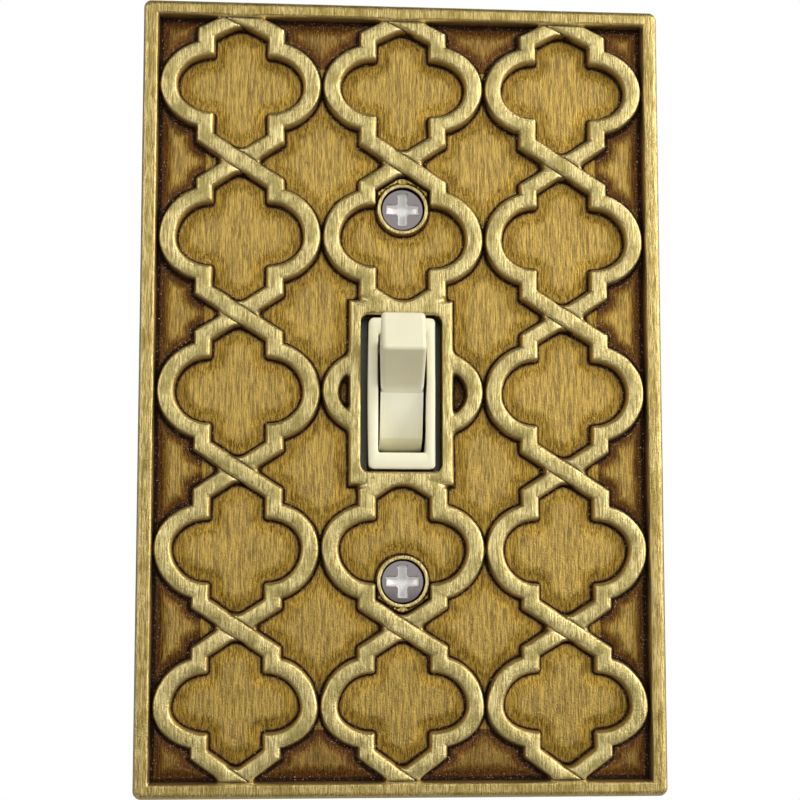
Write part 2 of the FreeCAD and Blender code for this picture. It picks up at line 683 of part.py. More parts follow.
def terminal(label, sign, corners):
    """a strip on the cavity floor that turns up under its binding screw"""
    body = new_body(label)
    floor = new_sketch(body, "XZ_Plane", "0 - floor_y")
    outline(floor, corners)
    disc(floor, "wire_hole + 0.1", "wire_x", "(%d) * side_z" % sign)
    pad(body, floor, "strip_thick")
    upright = new_sketch(body, "YZ_Plane", "side_x")
    rectangle(upright, "floor_y - upright_from", "2 * side_half",
              "(floor_y + upright_from) / 2", "(%d) * side_z" % sign)
    disc(upright, "side_crest + 0.03", "side_y", "(%d) * side_z" % sign)
    pad(body, upright, "strip_thick")
    return body


line = terminal("line_terminal", 1, [
    ("0 - 3", "0 - 3"), ("8.2", "0 - 3"), ("8.2", near), (edge, near),
    (edge, far), ("2.2", far), ("2.2", "3"), ("0 - 3", "3"),
])
knife = new_sketch(line, "YZ_Plane")
outline(knife, [("floor_y - 0.4", "0 - 1.5"), ("rocker_y - 0.15", "0 - 0.3"),
                ("rocker_y - 0.15", "0.3"), ("floor_y - 0.4", "1.5")])
pad(line, knife, "rocker_wide - 0.4", both=True)

load = terminal("load_terminal", -1, [
    ("0 - 3", "0 - (%s)" % far), (edge, "0 - (%s)" % far),
    (edge, "0 - (%s)" % near), ("0 - 3", "0 - (%s)" % near),
])

# ------------------------------------------------------------------ housing

base = new_body("switch_base")
face = new_sketch(base, "XZ_Plane", "0 - base_back")
rectangle(face, "base_wide", "base_tall")
for sign in (1, -1):
    disc(face, "rivet_hole", "0", "(%d) * rivet_z" % sign)
pad(base, face, "base_back - flange_thick")
soften(base, "Fillet", "base_round", lambda box, e: along_y(box, e) and abs(box.XMin) > 15)
soften(base, "Chamfer", "0.8",
       lambda box, e: box.YMin > size("base_back") - 0.01 and (
           abs(box.XMin) > 13 or abs(box.ZMin) > 24))
cavity = new_sketch(base, "XZ_Plane", "0 - flange_thick")
rectangle(cavity, "cavity_wide", "cavity_tall")
pocket(base, cavity, "floor_y - flange_thick")
recess = new_sketch(base, "YZ_Plane", "base_wide / 2")
for sign in (1, -1):
    rectangle(recess, "recess_to - recess_from", "2 * recess_half",
              "(recess_to + recess_from) / 2", "(%d) * side_z" % sign)
pocket(base, recess, "base_wide / 2 - side_x")
screw_bore = new_sketch(base, "YZ_Plane", "side_x")
for sign in (1, -1):
    disc(screw_bore, "side_bore", "side_y", "(%d) * side_z" % sign)
pocket(base, screw_bore, "side_long - strip_thick + 0.3")
slots = new_sketch(base, "XZ_Plane", "0 - floor_y")
for sign in (1, -1):
    rectangle(slots, "side_x - cavity_wide / 2 + 0.2", "2 * side_half + 0.1",
              "(side_x + cavity_wide / 2) / 2", "(%d) * side_z" % sign)
pocket(base, slots, "strip_thick + 0.05", reverse=True)
pockets = new_sketch(base, "XZ_Plane", "0 - floor_y")
for sign in (1, -1):
    rectangle(pockets, "2 * clip_half", "2 * clip_half", "wire_x", "(%d) * side_z" % sign)
pocket(base, pockets, "floor_y - clip_from", reverse=True)
wires = new_sketch(base, "XZ_Plane", "0 - base_back")
for sign in (1, -1):
    disc(wires, "wire_hole", "wire_x", "(%d) * side_z" % sign)
pocket(base, wires, "base_back - wire_to", reverse=True)
seats = new_sketch(base, "XZ_Plane", "0 - base_back")
for sign in (1, -1):
    disc(seats, "rivet_sink_radius", "0", "(%d) * rivet_z" % sign)
pocket(base, seats, "rivet_sink", reverse=True)
release = new_sketch(base, "XZ_Plane", "0 - base_back")
for sign in (1, -1):
    rectangle(release, "1.4", "3.6", "wire_x - 4.2", "(%d) * side_z" % sign)
    rectangle(release, "1.0", "17", "0 - 9", "(%d) * 13" % sign)
pocket(base, release, "1.2", reverse=True)

# -------------------------------------------------------------- cover plate

blank = new_body("cover_blank")
face = new_sketch(blank, "XZ_Plane")
rectangle(face, "plate_wide", "plate_tall")
pad(blank, face, "plate_deep")
soften(blank, "Fillet", "corner_round", along_y)
soften(blank, "Chamfer", "edge_chamfer",
       lambda box, e: box.YMax < 0.01 - size("plate_deep"))
field = new_sketch(blank, "XZ_Plane", "plate_deep")
rectangle(field, "plate_wide - 2 * border_wide", "plate_tall - 2 * border_wide")
pocket(blank, field, "relief_deep")
hollow = new_sketch(blank, "XZ_Plane")
rectangle(hollow, "plate_wide - 2 * wall_thick", "plate_tall - 2 * wall_thick")
pocket(blank, hollow, "plate_deep - relief_deep - skin_thick", reverse=True)
posts = new_sketch(blank, "XZ_Plane", "post_gap")
for sign in (1, -1):
    disc(posts, "post_radius", "0", "(%d) * screw_apart / 2" % sign)
pad(blank, posts, "plate_deep - relief_deep - post_gap - 0.5")
rings = new_sketch(blank, "XZ_Plane", "plate_deep - relief_deep - 0.5")
for sign in (1, -1):
    disc(rings, "boss_radius", "0", "(%d) * screw_apart / 2" % sign)
pad(blank, rings, "boss_high + 0.5")


def ribbon_wire(level, half, rise, fall):
    """closed outline of one half cell of ribbon, at one level of its section"""
    knee = size("shoulder_x")
    drop = size("shoulder_drop")
    radius = size("lobe_radius")
    shift = size("lobe_shift")
    slope = math.atan2(drop, knee)
    lean = half / math.cos(slope)
    over = 0.5

    def side(offset):
        tilt = offset / math.cos(slope)
        x = knee + offset
        top = rise - drop / knee * x + tilt
        low = -fall + drop / knee * x - tilt
        reach = radius + offset
        bend = math.sqrt(reach * reach - (x - shift) ** 2)
        return x, top, low, reach, bend

    def spot(x, z):
        return Vector(x, level, z)

    wires = []
    for offset in (half, -half):
        x, top, low, reach, bend = side(offset)
        sign = 1 if offset > 0 else -1
        begin = (-over * math.cos(slope) + sign * half * math.sin(slope),
                 rise + over * math.sin(slope) + sign * half * math.cos(slope))
        finish = (begin[0], -fall - (begin[1] - rise))
        wires.append([
            Part.makeLine(spot(*begin), spot(x, top)),
            Part.makeLine(spot(x, top), spot(x, bend)),
            Part.Arc(spot(x, bend), spot(shift + reach, 0), spot(x, -bend)).toShape(),
            Part.makeLine(spot(x, -bend), spot(x, low)),
            Part.makeLine(spot(x, low), spot(*finish)),
        ])
    outer, inner = wires
    caps = [
        Part.makeLine(outer[-1].Vertexes[-1].Point, inner[-1].Vertexes[-1].Point),
        Part.makeLine(inner[0].Vertexes[0].Point, outer[0].Vertexes[0].Point),
    ]
    return Part.Wire(outer + [caps[0]] + list(reversed(inner)) + [caps[1]])


def half_cell(rise, fall):
    """one half cell of ribbon: upright sides and a bevelled crown"""
    half = size("ribbon_wide") / 2
    top = -size("plate_deep")
    low = top + size("relief_deep") + 0.3
    brow = top + size("bevel_deep")
    foot = Part.Face(ribbon_wire(low, half, rise, fall))
    body = foot.extrude(Vector(0, brow - low, 0))
    levels = [ribbon_wire(brow, half, rise, fall),
              ribbon_wire(top, half - size("ribbon_bevel"), rise, fall)]
    crown = Part.makeLoft(levels, True, True)
    return body.fuse(crown)


pitch = size("row_pitch")
pieces = []
for column in (-1, 0, 1):
    for row in range(-2, 3):
        rise = size("end_rise") if row == 2 else pitch / 2
        fall = size("end_rise") if row == -2 else pitch / 2
        right = half_cell(rise, fall)
        left = right.mirror(Vector(0, 0, 0), Vector(1, 0, 0))
        for ribbon in (right, left):
            shift = Vector(column * size("column_pitch"), 0, row * pitch)
            pieces.append(ribbon.translated(shift))
top = -size("plate_deep")
low = top + size("relief_deep") + 0.3
wide, tall = size("surround_wide"), size("surround_tall")
pieces.append(Part.makeBox(wide, low - top, tall, Vector(-wide / 2, top, -tall / 2)))
# metal that joins each screw ring to the nearest crossing
for sign in (1, -1):
    ring = sign * size("screw_apart") / 2
    apex = sign * (pitch * 1.5 - 1.2)
    corners = [Vector(-3.4, 0, ring), Vector(3.4, 0, ring), Vector(1.6, 0, apex),
               Vector(-1.6, 0, apex)]
    web = Part.Face(Part.makePolygon(corners + corners[:1]))
    web.translate(Vector(0, low, 0))
    pieces.append(web.extrude(Vector(0, -size("boss_high") - 0.3, 0)))
raised = pieces[0].multiFuse(pieces[1:])
# lines cut beside the strand that runs on top at every crossing
lean = math.degrees(math.atan2(size("shoulder_drop"), size("shoulder_x")))
cuts = []
for column in (-1, 0, 1):
    for row in (-1.5, -0.5, 0.5, 1.5):
        if column == 0 and abs(row) < 1:
            continue
        for side in (1, -1):
            long, thin, deep = size("score_long"), size("score_wide"), size("score_deep")
            line_cut = Part.makeBox(long, deep + 0.2, thin,
                                    Vector(-long / 2, top - 0.2, -thin / 2))
            line_cut.translate(Vector(0, 0, side * (size("ribbon_wide") / 2)))
            line_cut.rotate(Vector(0, 0, 0), Vector(0, 1, 0), lean)
            line_cut.translate(Vector(column * size("column_pitch"), 0, row * pitch))
            cuts.append(line_cut)
raised = raised.cut(cuts)
inside = Part.makeBox(size("plate_wide") - 2.4, 20, size("plate_tall") - 2.4,
                      Vector(1.2 - size("plate_wide") / 2, -15, 1.2 - size("plate_tall") / 2))
lattice = doc.addObject("Part::Feature", "ribbon_lattice")
lattice.Shape = raised.common(inside)
lattice.Placement = Placement()

openings = []
mouth = new_body("toggle_opening")
face = new_sketch(mouth, "XZ_Plane", "plate_deep + 1")
rectangle(face, "opening_wide", "opening_tall")
pad(mouth, face, "plate_deep + 2", reverse=True)
soften(mouth, "Fillet", "opening_round", along_y)
openings.append(mouth)
for sign, word in ((1, "upper"), (-1, "lower")):
    sink = new_body("sunk_hole_" + word)
    face = new_sketch(sink, "YZ_Plane")
    rim = "0 - head_sunk + head_rim"
    outline(face, [("0 - plate_deep - 1", "0"), ("0 - plate_deep - 1", "bore_radius"),
                   (rim, "bore_radius"),
                   (rim + " + (bore_radius - clear_radius) * head_cone / 1.5", "clear_radius"),
                   ("1", "clear_radius"), ("1", "0")])
    turned(sink, face)
    place(sink, z="(%d) * screw_apart / 2" % sign)
    openings.append(sink)
solid = doc.addObject("Part::MultiFuse", "cover_raised")
solid.Shapes = [blank, lattice]
solid.Refine = True
cutter = doc.addObject("Part::Compound", "cover_openings")
cutter.Links = openings
cover = doc.addObject("Part::Cut", "cover_plate")
cover.Label = "cover_plate"
cover.Base = solid
cover.Tool = cutter
doc.recompute()

# ------------------------------------------------------------------- output

NODES = (
    "cover_plate", "upper_cover_screw", "lower_cover_screw", "mounting_strap",
    "switch_frame", "toggle_lever", "plunger_spring", "contact_plunger",
    "contact_rocker", "moving_contact", "fixed_contact", "line_terminal",
    "load_terminal", "terminal_screws", "ground_screw", "switch_base",
    "mounting_screws", "screw_retainers", "assembly_rivets", "push_in_clips",
)
for item in doc.Objects:
    bad = [word for word in item.State if word in ("Invalid", "Error")]
    if bad:
        raise RuntimeError(item.Label + " did not compute: " + ", ".join(bad))
os.makedirs("parts", exist_ok=True)
for label in NODES:
    item = doc.getObjectsByLabel(label)[0]
    shape = item.Shape
    if shape.isNull() or not shape.isValid():
        raise RuntimeError(label + " has no valid shape")
    shape.exportStep("parts/" + label + ".step")
    box = shape.BoundBox
    print("%-18s solids %d  volume %9.1f  x %6.2f..%6.2f  y %6.2f..%6.2f  z %7.2f..%7.2f" % (
        label, len(shape.Solids), shape.Volume, box.XMin, box.XMax,
        box.YMin, box.YMax, box.ZMin, box.ZMax))
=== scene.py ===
import bpy
import math
import numpy as np
from mathutils import Matrix, Vector


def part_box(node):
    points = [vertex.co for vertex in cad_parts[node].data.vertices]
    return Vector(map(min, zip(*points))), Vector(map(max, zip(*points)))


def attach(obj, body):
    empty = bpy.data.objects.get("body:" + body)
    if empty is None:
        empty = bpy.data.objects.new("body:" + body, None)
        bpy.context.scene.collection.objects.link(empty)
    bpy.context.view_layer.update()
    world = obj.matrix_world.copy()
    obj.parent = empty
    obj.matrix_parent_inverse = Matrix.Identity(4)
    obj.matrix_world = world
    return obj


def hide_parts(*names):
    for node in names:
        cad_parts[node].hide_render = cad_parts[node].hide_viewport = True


# Decorative cast wall plate over a toggle switch.  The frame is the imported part's: metres, X right,
# Z up, front towards -Y, origin in the middle of the cover on the wall surface.
# Shape helpers below work in millimetres and are scaled when a mesh is made.

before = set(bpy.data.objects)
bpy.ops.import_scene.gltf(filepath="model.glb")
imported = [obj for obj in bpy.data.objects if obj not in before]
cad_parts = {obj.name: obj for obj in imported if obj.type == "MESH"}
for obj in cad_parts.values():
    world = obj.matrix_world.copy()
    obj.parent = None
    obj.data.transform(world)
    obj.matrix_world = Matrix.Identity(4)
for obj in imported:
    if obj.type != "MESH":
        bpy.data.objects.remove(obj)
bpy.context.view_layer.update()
MM = 0.001

# ------------------------------------------------------------------ sizes, mm
PLATE = (84.4, 128.0)
TOP = 7.8                 # wall plane to the crown of the relief
DEPTH = 2.5               # relief above the panels
SKIN_BACK = 3.7           # wall plane to the back of the panels
BORDER = 2.65
CORNER = 1.3
COLUMN, ROW = 26.35, 25.05    # spacing of the cells
END_RISE = 11.4           # height of the outermost half cells
SHOULDER_X, SHOULDER_DROP = 5.75, 3.75
LOBE_R, LOBE_SHIFT = 6.9, 4.75
RIBBON_HALF = 1.52
DOME = 0.28               # how far the crown of a ribbon is domed
MELT = 1.3                # how far crossing strands melt together
STRAND_EDGE = 1.36        # from the middle of the upper strand to the groove beside it
OUTER_ZONE = (32.0, 53.5)  # panels beyond these are the browner ones
CREST = 0.58              # width of the rounded shoulder of a ribbon
ROUNDING = 0.62           # radius on the outer corners of a ribbon
PILLOW = 0.30             # how far the panels swell between the ribbons
# apex height, fall to the shoulder and flattening of the lobe, above and below each row's centre
ENDS = {
    2: ((END_RISE, 2.9, 0.85), (ROW / 2, 3.75, 0.9)),
    1: ((ROW / 2, 3.75, 0.05), (ROW / 2, 3.75, 0.85)),
    0: ((ROW / 2, 3.6, 0.2), (ROW / 2, 3.75, 0.4)),
    -1: ((ROW / 2, 3.75, 0.95), (ROW / 2, 3.75, 0.0)),
    -2: ((ROW / 2, 3.75, 0.1), (END_RISE, 4.2, 1.7)),
    "middle": ((ROW / 2, 3.75, 1.2), (ROW / 2, 3.75, 1.2)),
}
OPENING = (13.2, 25.4, 1.3)             # width, height and corner radius
SURROUND = (17.1, 30.2)
SCREW_Z = 30.1625         # half the spacing of the cover screws
BORE_R, RING_R, RING_HIGH = 3.6, 4.3, 1.5
POST_R = 4.45             # screw posts on the back
WALL = 2.2                # thickness of the side walls
RIB_X = 21                # ribs on the back
SWITCH_X = -0.25          # the switch sits a hair off the screw line
FRONT_STEP, BACK_STEP = 0.16, 0.35    # spacing of the nets that carry the faces


# ------------------------------------------------------------- plane geometry
def polygon_field(px, pz, poly):
    """signed distance to a closed polygon, positive inside"""
    near = np.full(px.shape, 1e9)
    inside = np.zeros(px.shape, bool)
    for (ax, az), (bx, bz) in zip(poly, np.roll(poly, -1, axis=0)):
        ex, ez = bx - ax, bz - az
        wx, wz = px - ax, pz - az
        t = np.clip((wx * ex + wz * ez) / max(ex * ex + ez * ez, 1e-12), 0, 1)
        near = np.minimum(near, (wx - t * ex) ** 2 + (wz - t * ez) ** 2)
        if abs(ez) > 1e-12:
            inside ^= ((az > pz) != (bz > pz)) & (px < ex * (pz - az) / ez + ax)
    return np.where(inside, 1.0, -1.0) * np.sqrt(near)


def box_field(px, pz, wide, tall, radius=0.0):
    """signed distance to a rounded rectangle about the origin, positive inside"""
    qx = np.abs(px) - wide / 2 + radius
    qz = np.abs(pz) - tall / 2 + radius
    out = np.hypot(np.maximum(qx, 0), np.maximum(qz, 0))
    return radius - out - np.minimum(np.maximum(qx, qz), 0)


def ribbon_outline(half, row, over=2.6, steps=22):
    """closed outline of one half cell of ribbon on the +x side of its column"""
    (rise, drop_up, cut_up), (fall, drop_down, cut_down) = ENDS[row]
    sides = []
    for offset in (half, -half):
        x = SHOULDER_X + offset
        reach = LOBE_R + offset
        bend = math.sqrt(reach * reach - (x - LOBE_SHIFT) ** 2)
        angle = math.atan2(bend, x - LOBE_SHIFT)
        path = []
        for up, drop, sign in ((rise, drop_up, 1), (fall, drop_down, -1)):
            slope = math.atan2(drop, SHOULDER_X)
            start = (-over * math.cos(slope) + offset * math.sin(slope),
                     up + over * math.sin(slope) + offset * math.cos(slope))
            corner = (x, up - drop / SHOULDER_X * x + offset / math.cos(slope))
            ends = [(start[0], start[1] * sign), (corner[0], corner[1] * sign)]
            path += ends if sign > 0 else ends[::-1]
        arc = []
        for k in range(steps + 1):
            a = angle - 2 * angle * k / steps
            high = reach * math.sin(a)
            cut = cut_up if high > 0 else cut_down
            arc.append((LOBE_SHIFT + reach * math.cos(a), high * (1 - cut / bend)))
        sides.append(path[:2] + arc + path[2:])
    return np.array(sides[0] + sides[1][::-1])


def smooth(edge0, edge1, value):
    """a soft step from 0 at the first edge to 1 at the second"""
    t = np.clip((value - edge0) / (edge1 - edge0), 0, 1)
    return t * t * (3 - 2 * t)


def shoulder(u):
    """height of a rounded shoulder, 0 at its foot and 1 on the crown"""
    u = np.clip(u, 0, 1)
    return (1 - (1 - u) ** 2.3) ** 0.62


def window(points, margin, xs, zs):
    """the part of the grid within a margin of some points"""
    low, high = points.min(0) - margin, points.max(0) + margin
    i0, i1 = np.searchsorted(xs, [low[0], high[0]])
    j0, j1 = np.searchsorted(zs, [low[1], high[1]])
    return (slice(j0, j1), slice(i0, i1))


def lattice_fields(X, Z, xs, zs):
    """inside distance of the raised work, and which points lie inside a cell"""
    X = X + 0.13 * ripple(X, Z, 30, 21) + 0.035 * ripple(X, Z, 5, 23)
    Z = Z - 0.12 + 0.13 * ripple(X, Z, 30, 22) + 0.035 * ripple(X, Z, 5, 24)
    raised = np.full(X.shape, -4.0)
    in_cell = np.zeros(X.shape, bool)
    for column in (-1, 0, 1):
        strands = [np.full(X.shape, -4.0), np.full(X.shape, -4.0)]
        for row in range(-2, 3):
            shape = row if row or column else "middle"
            outline = ribbon_outline(RIBBON_HALF - ROUNDING, shape)
            inner = outline[len(outline) // 2:]
            inner = inner[inner[:, 0] > 0]
            (rise, drop_up, _), (fall, drop_down, _) = ENDS[shape]
            high = rise - RIBBON_HALF / math.cos(math.atan2(drop_up, SHOULDER_X))
            low = fall - RIBBON_HALF / math.cos(math.atan2(drop_down, SHOULDER_X))
            cell = np.vstack([inner, [[0, high]], inner[::-1] * [-1, 1], [[0, -low]]])
            for side in (1, -1):
                poly = outline * [side, 1] + [column * COLUMN, row * ROW]
                win = window(poly, 3.4, xs, zs)
                part = polygon_field(X[win], Z[win], poly) + ROUNDING
                upper = (Z[win] > row * ROW) == (side > 0)
                for group, mine in zip(strands, (upper, ~upper)):
                    group[win] = np.maximum(group[win], np.where(mine, part, -4))
            poly = cell + [column * COLUMN, row * ROW]
            win = window(poly, 1, xs, zs)
            in_cell[win] |= polygon_field(X[win], Z[win], poly) > 0
        # strands melt together a little where they cross
        a, b = strands
        h = np.maximum(MELT - np.abs(a - b), 0) / MELT
        raised = np.maximum(raised, np.maximum(a, b) + h * h * MELT / 4)
    rect = np.minimum(SURROUND[0] / 2 - np.abs(X - SWITCH_X), SURROUND[1] / 2 - np.abs(Z))
    h = np.maximum(0.8 - np.abs(raised - rect), 0) / 0.8
    return np.maximum(raised, rect) + h * h * 0.2, in_cell


def bumps(X, Z, xs, zs, count, size, high, seed):
    """small casting pits and pimples scattered over the face"""
    gen = np.random.default_rng(seed)
    total = np.zeros(X.shape)
    for _ in range(count):
        cx = gen.uniform(-PLATE[0] / 2, PLATE[0] / 2)
        cz = gen.uniform(-PLATE[1] / 2, PLATE[1] / 2)
        r = gen.uniform(*size)
        a = gen.uniform(*high)
        win = window(np.array([[cx, cz]]), 3 * r, xs, zs)
        total[win] += a * np.exp(-((X[win] - cx) ** 2 + (Z[win] - cz) ** 2) / (r * r))
    return total


def ripple(X, Z, scale, seed):
    """slow uneven waviness of a casting, about -1 to 1"""
    gen = np.random.default_rng(seed)
    total = np.zeros(X.shape)
    for _ in range(9):
        angle, phase = gen.uniform(0, math.tau, 2)
        k = gen.uniform(0.5, 1.6) * math.tau / scale
        total += np.sin(k * (X * math.cos(angle) + Z * math.sin(angle)) + phase)
    return total / 5


def crossings(X, Z, xs, zs, frame_in):
    """grooves and creases where the strand that falls to the right runs over the other"""
    groove = np.zeros(X.shape)
    crease = np.zeros(X.shape)
    falls = [(2 * ROW + END_RISE, ENDS[2][0][1]), (-2 * ROW - END_RISE, ENDS[-2][1][1])]
    falls += [(row * ROW, SHOULDER_DROP) for row in (-1.5, -0.5, 0.5, 1.5)]
    for column in (-1, 0, 1):
        for cz, drop in falls:
            if column == 0 and abs(cz) < ROW:
                continue
            cx, slope = column * COLUMN, math.atan2(drop, SHOULDER_X)
            win = window(np.array([[cx, cz]]), 4.5, xs, zs)
            dx, dz = X[win] - cx, Z[win] - cz
            across = np.abs(dx * math.sin(slope) + dz * math.cos(slope))
            along = np.abs(dx * math.cos(slope) - dz * math.sin(slope))
            keep = smooth(3.0, 2.3, along) * (frame_in[win] < -0.1)
            line = np.exp(-((across - STRAND_EDGE) / 0.13) ** 2)
            under = np.where(across > STRAND_EDGE, np.exp(-(across - STRAND_EDGE) / 0.9), 0)
            round_off = smooth(0.75, STRAND_EDGE, across) * (across <= STRAND_EDGE)
            groove[win] += keep * (0.30 * line + 0.20 * under + 0.10 * round_off)
            crease[win] = np.maximum(crease[win], keep * line)
    return groove, crease


def web_bed(X, Z, raised):
    """height of the pebbled metal between a screw ring and the crossing beyond it"""
    pebble = 0.08 * np.sin(X * 7.3 + 1.7 * np.sin(Z * 6.1)) * np.sin(Z * 7.9 + X)
    pebble += 0.05 * np.sin(X * 13.1 + 2 * np.sin(Z * 9.7)) * np.sin(Z * 12.3 - X)
    return -DEPTH + (RING_HIGH - 0.15) * smooth(0.0, 0.25, -raised) + pebble


def front_shape(X, Z, xs, zs):
    """height of the face below the crown plane, with the masks its finish needs"""
    raised, in_cell = lattice_fields(X, Z, xs, zs)
    frame_in = np.maximum(np.abs(X) - PLATE[0] / 2 + BORDER, np.abs(Z) - PLATE[1] / 2 + BORDER)
    edge = box_field(X, Z, PLATE[0], PLATE[1], CORNER)
    hole = -box_field(X - SWITCH_X, Z, *OPENING)
    r = np.hypot(X, np.abs(Z) - SCREW_Z)
    feature = np.maximum(np.maximum(raised, frame_in), RING_R - r)
    on_panel = feature < 0
    web = (np.abs(Z) > SCREW_Z + 0.3) & (np.abs(Z) < ROW * 1.5) & (np.abs(X) < 4.6) & in_cell
    # swelling panels, domed ribbons and the border
    panel = -DEPTH + PILLOW * smooth(0.15, 2.7, -feature) - 0.05
    dome = DOME * np.clip(1 - raised / RIBBON_HALF, 0, 1) ** 2
    crown = -DEPTH + DEPTH * shoulder(raised / CREST) - dome * smooth(0, 0.4, raised)
    high = np.where(raised > 0, crown, panel)
    rim = -DEPTH + (DEPTH + 0.05) * shoulder(frame_in / 0.62)
    high = np.where(frame_in > 0, np.maximum(high, rim), high)
    seam = np.exp(-((frame_in - 0.02) / 0.16) ** 2) * (raised > 0.3)
    high = high - 0.35 * seam
    # screw rings with their webs
    high = np.where(web & (raised <= 0), web_bed(X, Z, raised), high)
    ring = -DEPTH + RING_HIGH * shoulder((RING_R - r) / 0.22)
    ring -= 0.05 * smooth(BORE_R + 0.12, BORE_R, r)
    high = np.where(r < RING_R, np.maximum(np.where(web & (raised <= 0), -9, high), ring), high)
    groove, crease = crossings(X, Z, xs, zs, frame_in)
    high = high - np.where(raised > 0, groove, 0)
    # worn, slightly uneven casting
    high = high + 0.025 * ripple(X, Z, 9, 3) + bumps(X, Z, xs, zs, 420, (0.12, 0.3), (-0.07, 0.05), 5)
    # eased edges of the opening and of the plate
    high = high - 0.30 * (1 - np.sqrt(1 - np.clip(1 - hole / 0.55, 0, 1) ** 2)) * (hole > -0.3)
    ease = np.clip(1 - edge / 0.95, 0, 1)
    high = high - 0.95 * (1 - np.sqrt(1 - ease ** 2 * 0.98))
    # where patina settles: at the foot of the relief, in creases and seams, and inside the half
    # rings; at the edge of each bore the darkening is painted shade; narrow slivers of panel beside
    # the surround are kept dark
    depth = np.clip(-high / DEPTH, 0, 1)
    gap = np.clip(-feature, 0, 9)
    outer = ((np.abs(X) > OUTER_ZONE[0]) | (np.abs(Z) > OUTER_ZONE[1])) & ~in_cell & on_panel
    fall = np.where(outer, 0.85, 0.47)
    dirt_and_shade = np.where(on_panel, np.exp(-(gap / fall) ** 1.45), smooth(0.55, 0.92, depth))
    dirt_and_shade = np.maximum(dirt_and_shade, 0.8 * crease)
    dirt_and_shade = np.maximum(dirt_and_shade, 0.75 * seam)
    dirt_and_shade = np.where(web & on_panel, 0.1 + 0.75 * smooth(0.2, 0.0, -raised), dirt_and_shade)
    # painted shade: the edge of each bore, where the screw head sits, is darkened
    at_bore = (r < RING_R) & (r > BORE_R - 1)
    dirt_and_shade = np.where(at_bore, 0.8 * smooth(BORE_R + 0.06, BORE_R - 0.08, r), dirt_and_shade)
    sliver = on_panel & in_cell & (np.abs(Z) < 6) & (np.abs(X) < 13)
    dirt_and_shade = np.where(sliver, np.maximum(dirt_and_shade, 0.62), dirt_and_shade)
    # the browner outer panels, the rubbed crowns, and a painted highlight, partly standing for wear,
    # along their shoulders and faintly in the panel middles
    clean = np.where(np.abs(Z) > OUTER_ZONE[1], 0.45, 0.85)
    zone = np.where(outer, 1 - clean * smooth(0.9, 2.5, gap), 0.0)
    rub = np.where(on_panel, np.where(web, 0.5, 0.0), smooth(0.55, 0.05, depth))
    rub = np.where((r < RING_R - 0.1) & (r > BORE_R - 0.3), 0.9, rub)
    rub = np.where(frame_in > 0, 0.6 * rub, rub)
    crest_line = smooth(0.02, 0.10, depth) * smooth(0.5, 0.2, depth)
    glint = np.where(on_panel, smooth(1.6, 2.9, gap) * 0.15, crest_line)
    masks = {"dirt_and_shade": np.clip(dirt_and_shade, 0, 1), "zone": zone, "rub": rub, "glint": glint}
    fields = {"raised": raised, "frame": frame_in, "edge": edge, "hole": hole, "r": r}
    return high, masks, fields


def back_shape(X, Z, xs, zs):
    """depth of the back of the casting: rim on the wall, hollow, screw posts and ribs"""
    edge = box_field(X, Z, PLATE[0], PLATE[1], CORNER)
    wall = box_field(X, Z, PLATE[0] - 2 * WALL, PLATE[1] - 2 * WALL, 1.2)
    r = np.hypot(X, np.abs(Z) - SCREW_Z)
    hole = -box_field(X - SWITCH_X, Z, *OPENING)
    y = np.where(wall > 0, -SKIN_BACK * smooth(0, 0.35, wall), 0)
    collar = -SKIN_BACK + 0.7 * smooth(1.9, 1.6, hole)
    y = np.where((wall > 1) & (hole < 2.2), np.maximum(y, collar), y)
    post = -SKIN_BACK + (SKIN_BACK - 1.45) * smooth(POST_R, POST_R - 0.25, r)
    y = np.where(r < 4.6, np.maximum(y, post), y)
    for side in (-1, 1):
        rib = -SKIN_BACK + 0.8 * smooth(0.75, 0.45, np.abs(X - side * RIB_X))
        y = np.where((np.abs(X - side * RIB_X) < 0.8) & (wall > 2), np.maximum(y, rib), y)
        for mark in (-44, 0, 44):
            q = np.hypot(X - side * 31, Z - mark)
            y = y + 0.14 * np.exp(-((q - 2.4) / 0.18) ** 2) * (wall > 1)
    y = y + 0.03 * ripple(X, Z, 7, 8) * (wall > 0.5)
    dirt_and_shade = np.where(wall > 0, 0.35 + 0.5 * np.exp(-wall / 2), 0.2)
    return y, {"dirt_and_shade": np.clip(dirt_and_shade, 0, 1)}, {"edge": edge, "hole": hole, "r": r, "wall": wall}


# ---------------------------------------------------------------- mesh makers
def snap(X, Z, field, level, step, reach=0.6):
    """moves grid points that lie near a contour onto it"""
    gz, gx = np.gradient(field, step)
    steep = gx * gx + gz * gz
    off = field - level
    near = (np.abs(off) < reach * step * np.sqrt(np.maximum(steep, 0.2))) & (steep > 0.3)
    X = np.where(near, X - off * gx / np.maximum(steep, 0.3), X)
    Z = np.where(near, Z - off * gz / np.maximum(steep, 0.3), Z)
    return X, Z, near


def sheet(shape, step, snaps, cuts):
    """a grid over the plate, its points pulled onto the sharp contours, with holes cut out"""
    nx = int(round((PLATE[0] + 0.2) / step)) + 1
    nz = int(round((PLATE[1] + 0.2) / step)) + 1
    xs = np.linspace(-PLATE[0] / 2 - 0.1, PLATE[0] / 2 + 0.1, nx)
    zs = np.linspace(-PLATE[1] / 2 - 0.1, PLATE[1] / 2 + 0.1, nz)
    X, Z = np.meshgrid(xs, zs)
    _, _, fields = shape(X, Z, xs, zs)
    taken = np.zeros(X.shape, bool)
    for name, level in cuts + snaps:
        nX, nZ, near = snap(X, Z, fields[name], level, step)
        near &= ~taken
        X, Z = np.where(near, nX, X), np.where(near, nZ, Z)
        taken |= near
    high, masks, fields = shape(X, Z, xs, zs)
    masks = {key: values.ravel() for key, values in masks.items()}
    ids = np.arange(nx * nz).reshape(nz, nx)
    quads = np.stack([ids[:-1, :-1], ids[:-1, 1:], ids[1:, 1:], ids[1:, :-1]], -1).reshape(-1, 4)
    keep = np.ones(len(quads), bool)
    for name, level in cuts:
        value = fields[name].ravel()[quads].mean(1)
        keep &= value > level
    return X.ravel(), Z.ravel(), high.ravel(), masks, quads[keep]


